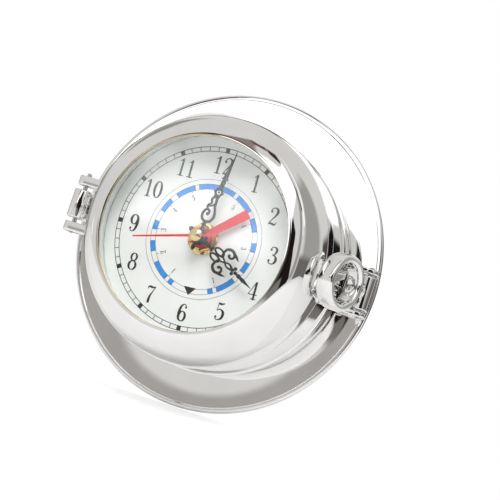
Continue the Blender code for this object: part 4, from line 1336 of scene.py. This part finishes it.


# Each card: azimuth and elevation of its middle, its tilt, half its length and width, its softness
# (all in degrees) and its colour. Later cards cover earlier ones. They were placed and tuned one by one, so
# that the chrome, seen by the camera, is bright and dark where the photographed clock is.
CARDS = [
    ((0, -45, 0, 400, 46.5, 1.0), (0.70, 0.69, 0.675)),
    ((-24, 2.2, 11, 12, 2.4, 1.6), (0.40, 0.385, 0.37)),
    ((58, 25, 0, 6, 30, 4), (0.33, 0.32, 0.305)),
    ((67, 38, 0, 3, 14, 2), (0.85, 0.85, 0.84)),
    ((74, 55, 0, 4, 24, 3), (1.1, 1.1, 1.1)),
    ((104, 22, 0, 26, 38, 12), (0.36, 0.35, 0.335)),
    ((92, 2, 0, 24, 9, 6), (0.15, 0.14, 0.135)),
    ((-122, 32, 0, 18, 9, 8), (0.30, 0.30, 0.27)),
    ((-130, 0, 0, 16, 12, 8), (0.34, 0.335, 0.31)),
    ((-70, -7, 12, 2.5, 7, 2), (1.15, 1.15, 1.15)),
    ((-89, -8, 12, 2.0, 6, 2), (1.1, 1.1, 1.1)),
    ((-109, -8, 12, 2.0, 6, 2), (1.1, 1.1, 1.1)),
    ((57, 51, -48, 15, 2.0, 2), (0.04, 0.03, 0.03)),
    ((-18, 40, 84, 24, 4.5, 3), (0.26, 0.21, 0.20)),
    ((-21.5, 14, 84, 5.5, 4.5, 1.5), (0.07, 0.02, 0.025)),
    ((-8, 61, 40, 12, 4.5, 4), (0.13, 0.07, 0.065)),
    ((20, 69, 10, 17, 6.0, 4), (0.05, 0.03, 0.03)),
    ((160, 6, 0, 22, 14, 6), (0.08, 0.06, 0.055)),
    ((-154, 6, 0, 18, 12, 6), (0.16, 0.14, 0.13)),
    ((22, -8, -24, 32, 6.5, 4), (0.20, 0.185, 0.17)),
    ((-6, 5, 0, 6.5, 6, 2), (0.09, 0.065, 0.055)),
    ((13, 9, -4, 14, 10.5, 2), (0.010, 0.007, 0.008)),
    ((34, -1.5, -30, 20, 7.5, 2), (0.015, 0.010, 0.011)),
    ((22, 43, 36, 30, 12, 2), (1.35, 1.35, 1.36)),
    ((0, 27, 48, 14, 9.5, 1.5), (1.35, 1.35, 1.36)),
    ((-11, 15, 45, 8, 4.6, 1.0), (1.35, 1.35, 1.36)),
    ((-17.5, 9.0, 0, 5.1, 4.2, 0.8), (1.35, 1.35, 1.36)),
    ((-21.9, 5.6, 0, 1.7, 0.9, 0.5), (2.6, 2.65, 2.7)),
]
SKY = (0.68, 0.675, 0.66)


def make_studio():
    """The cards, as only reflections and light on the object see them. The camera sees plain white."""
    world = bpy.data.worlds.new("studio")
    bpy.context.scene.world = world
    world.use_nodes = True
    tree = world.node_tree

    def maths(operation, *sources):
        return add_node(tree, "Math", enumerate(sources), operation=operation).outputs[0]

    def edge(source, start, end):
        sockets = {"From Min": math.radians(start), "From Max": math.radians(end), "Value": source}
        return add_node(tree, "MapRange", sockets, interpolation_type="SMOOTHSTEP").outputs["Result"]

    def offset(factors, shift):
        """How far azimuth and elevation, times their factors, are from the shift."""
        pair = add_node(tree, "CombineXYZ", {0: azimuth, 1: elevation, 2: 1})
        sockets = {0: pair.outputs[0], 1: (*factors, -shift)}
        product = add_node(tree, "VectorMath", sockets, operation="DOT_PRODUCT")
        return maths("ABSOLUTE", product.outputs["Value"])

    direction = add_node(tree, "SeparateXYZ", {0: add_node(tree, "TexCoord").outputs["Generated"]}).outputs
    azimuth = maths("ARCTAN2", direction["X"], maths("MULTIPLY", direction["Y"], -1))
    elevation = maths("ARCSINE", direction["Z"])
    colour = (*SKY, 1)
    for (middle_azimuth, height, tilt, half_long, half_wide, soft), shade in CARDS:
        cos, sin = math.cos(math.radians(tilt)), math.sin(math.radians(tilt))
        along = offset((cos, sin), math.radians(middle_azimuth * cos + height * sin))
        across = offset((-sin, cos), math.radians(height * cos - middle_azimuth * sin))
        ends = edge(along, half_long + soft / 2, half_long - soft / 2)
        sides = edge(across, half_wide + soft / 2, half_wide - soft / 2)
        mix = add_node(tree, "Mix", {0: maths("MULTIPLY", ends, sides)}, data_type="RGBA")
        below, above = [socket for socket in mix.inputs if socket.type == "RGBA"]
        feed(tree, below, colour)
        feed(tree, above, (*shade, 1))
        colour = next(socket for socket in mix.outputs if socket.type == "RGBA")
    room = tree.nodes["Background"]
    tree.links.new(colour, room.inputs["Color"])
    white = add_node(tree, "Background", {"Color": (1, 1, 1, 1)})
    seen = add_node(tree, "LightPath").outputs["Is Camera Ray"]
    choice = add_node(tree, "MixShader", {"Fac": seen, 1: room.outputs[0], 2: white.outputs[0]})
    tree.links.new(choice.outputs[0], tree.nodes["World Output"].inputs["Surface"])
    bpy.context.scene.view_settings.view_transform = "Standard"


def make_lamp():
    data = bpy.data.lights.new("soft_key", "AREA")
    data.shape = "DISK"
    data.size = 0.9
    data.energy = 16
    lamp = linked("soft_key", data)
    place = Vector((0.2, -1.15, 1.2))
    lamp.matrix_world = Matrix.Translation(place) @ place.to_track_quat("Z", "Y").to_matrix().to_4x4()
    lamp.visible_glossy = False
    lamp.visible_camera = False


make_camera()
make_studio()
make_lamp()
make_floor()
dress_frame()
make_case()
make_back()
make_bezel()
make_lugs()
make_hinge()
make_dog()
make_print()
make_minute_hand()
make_hour_hand()
make_red_hands()
make_centre()
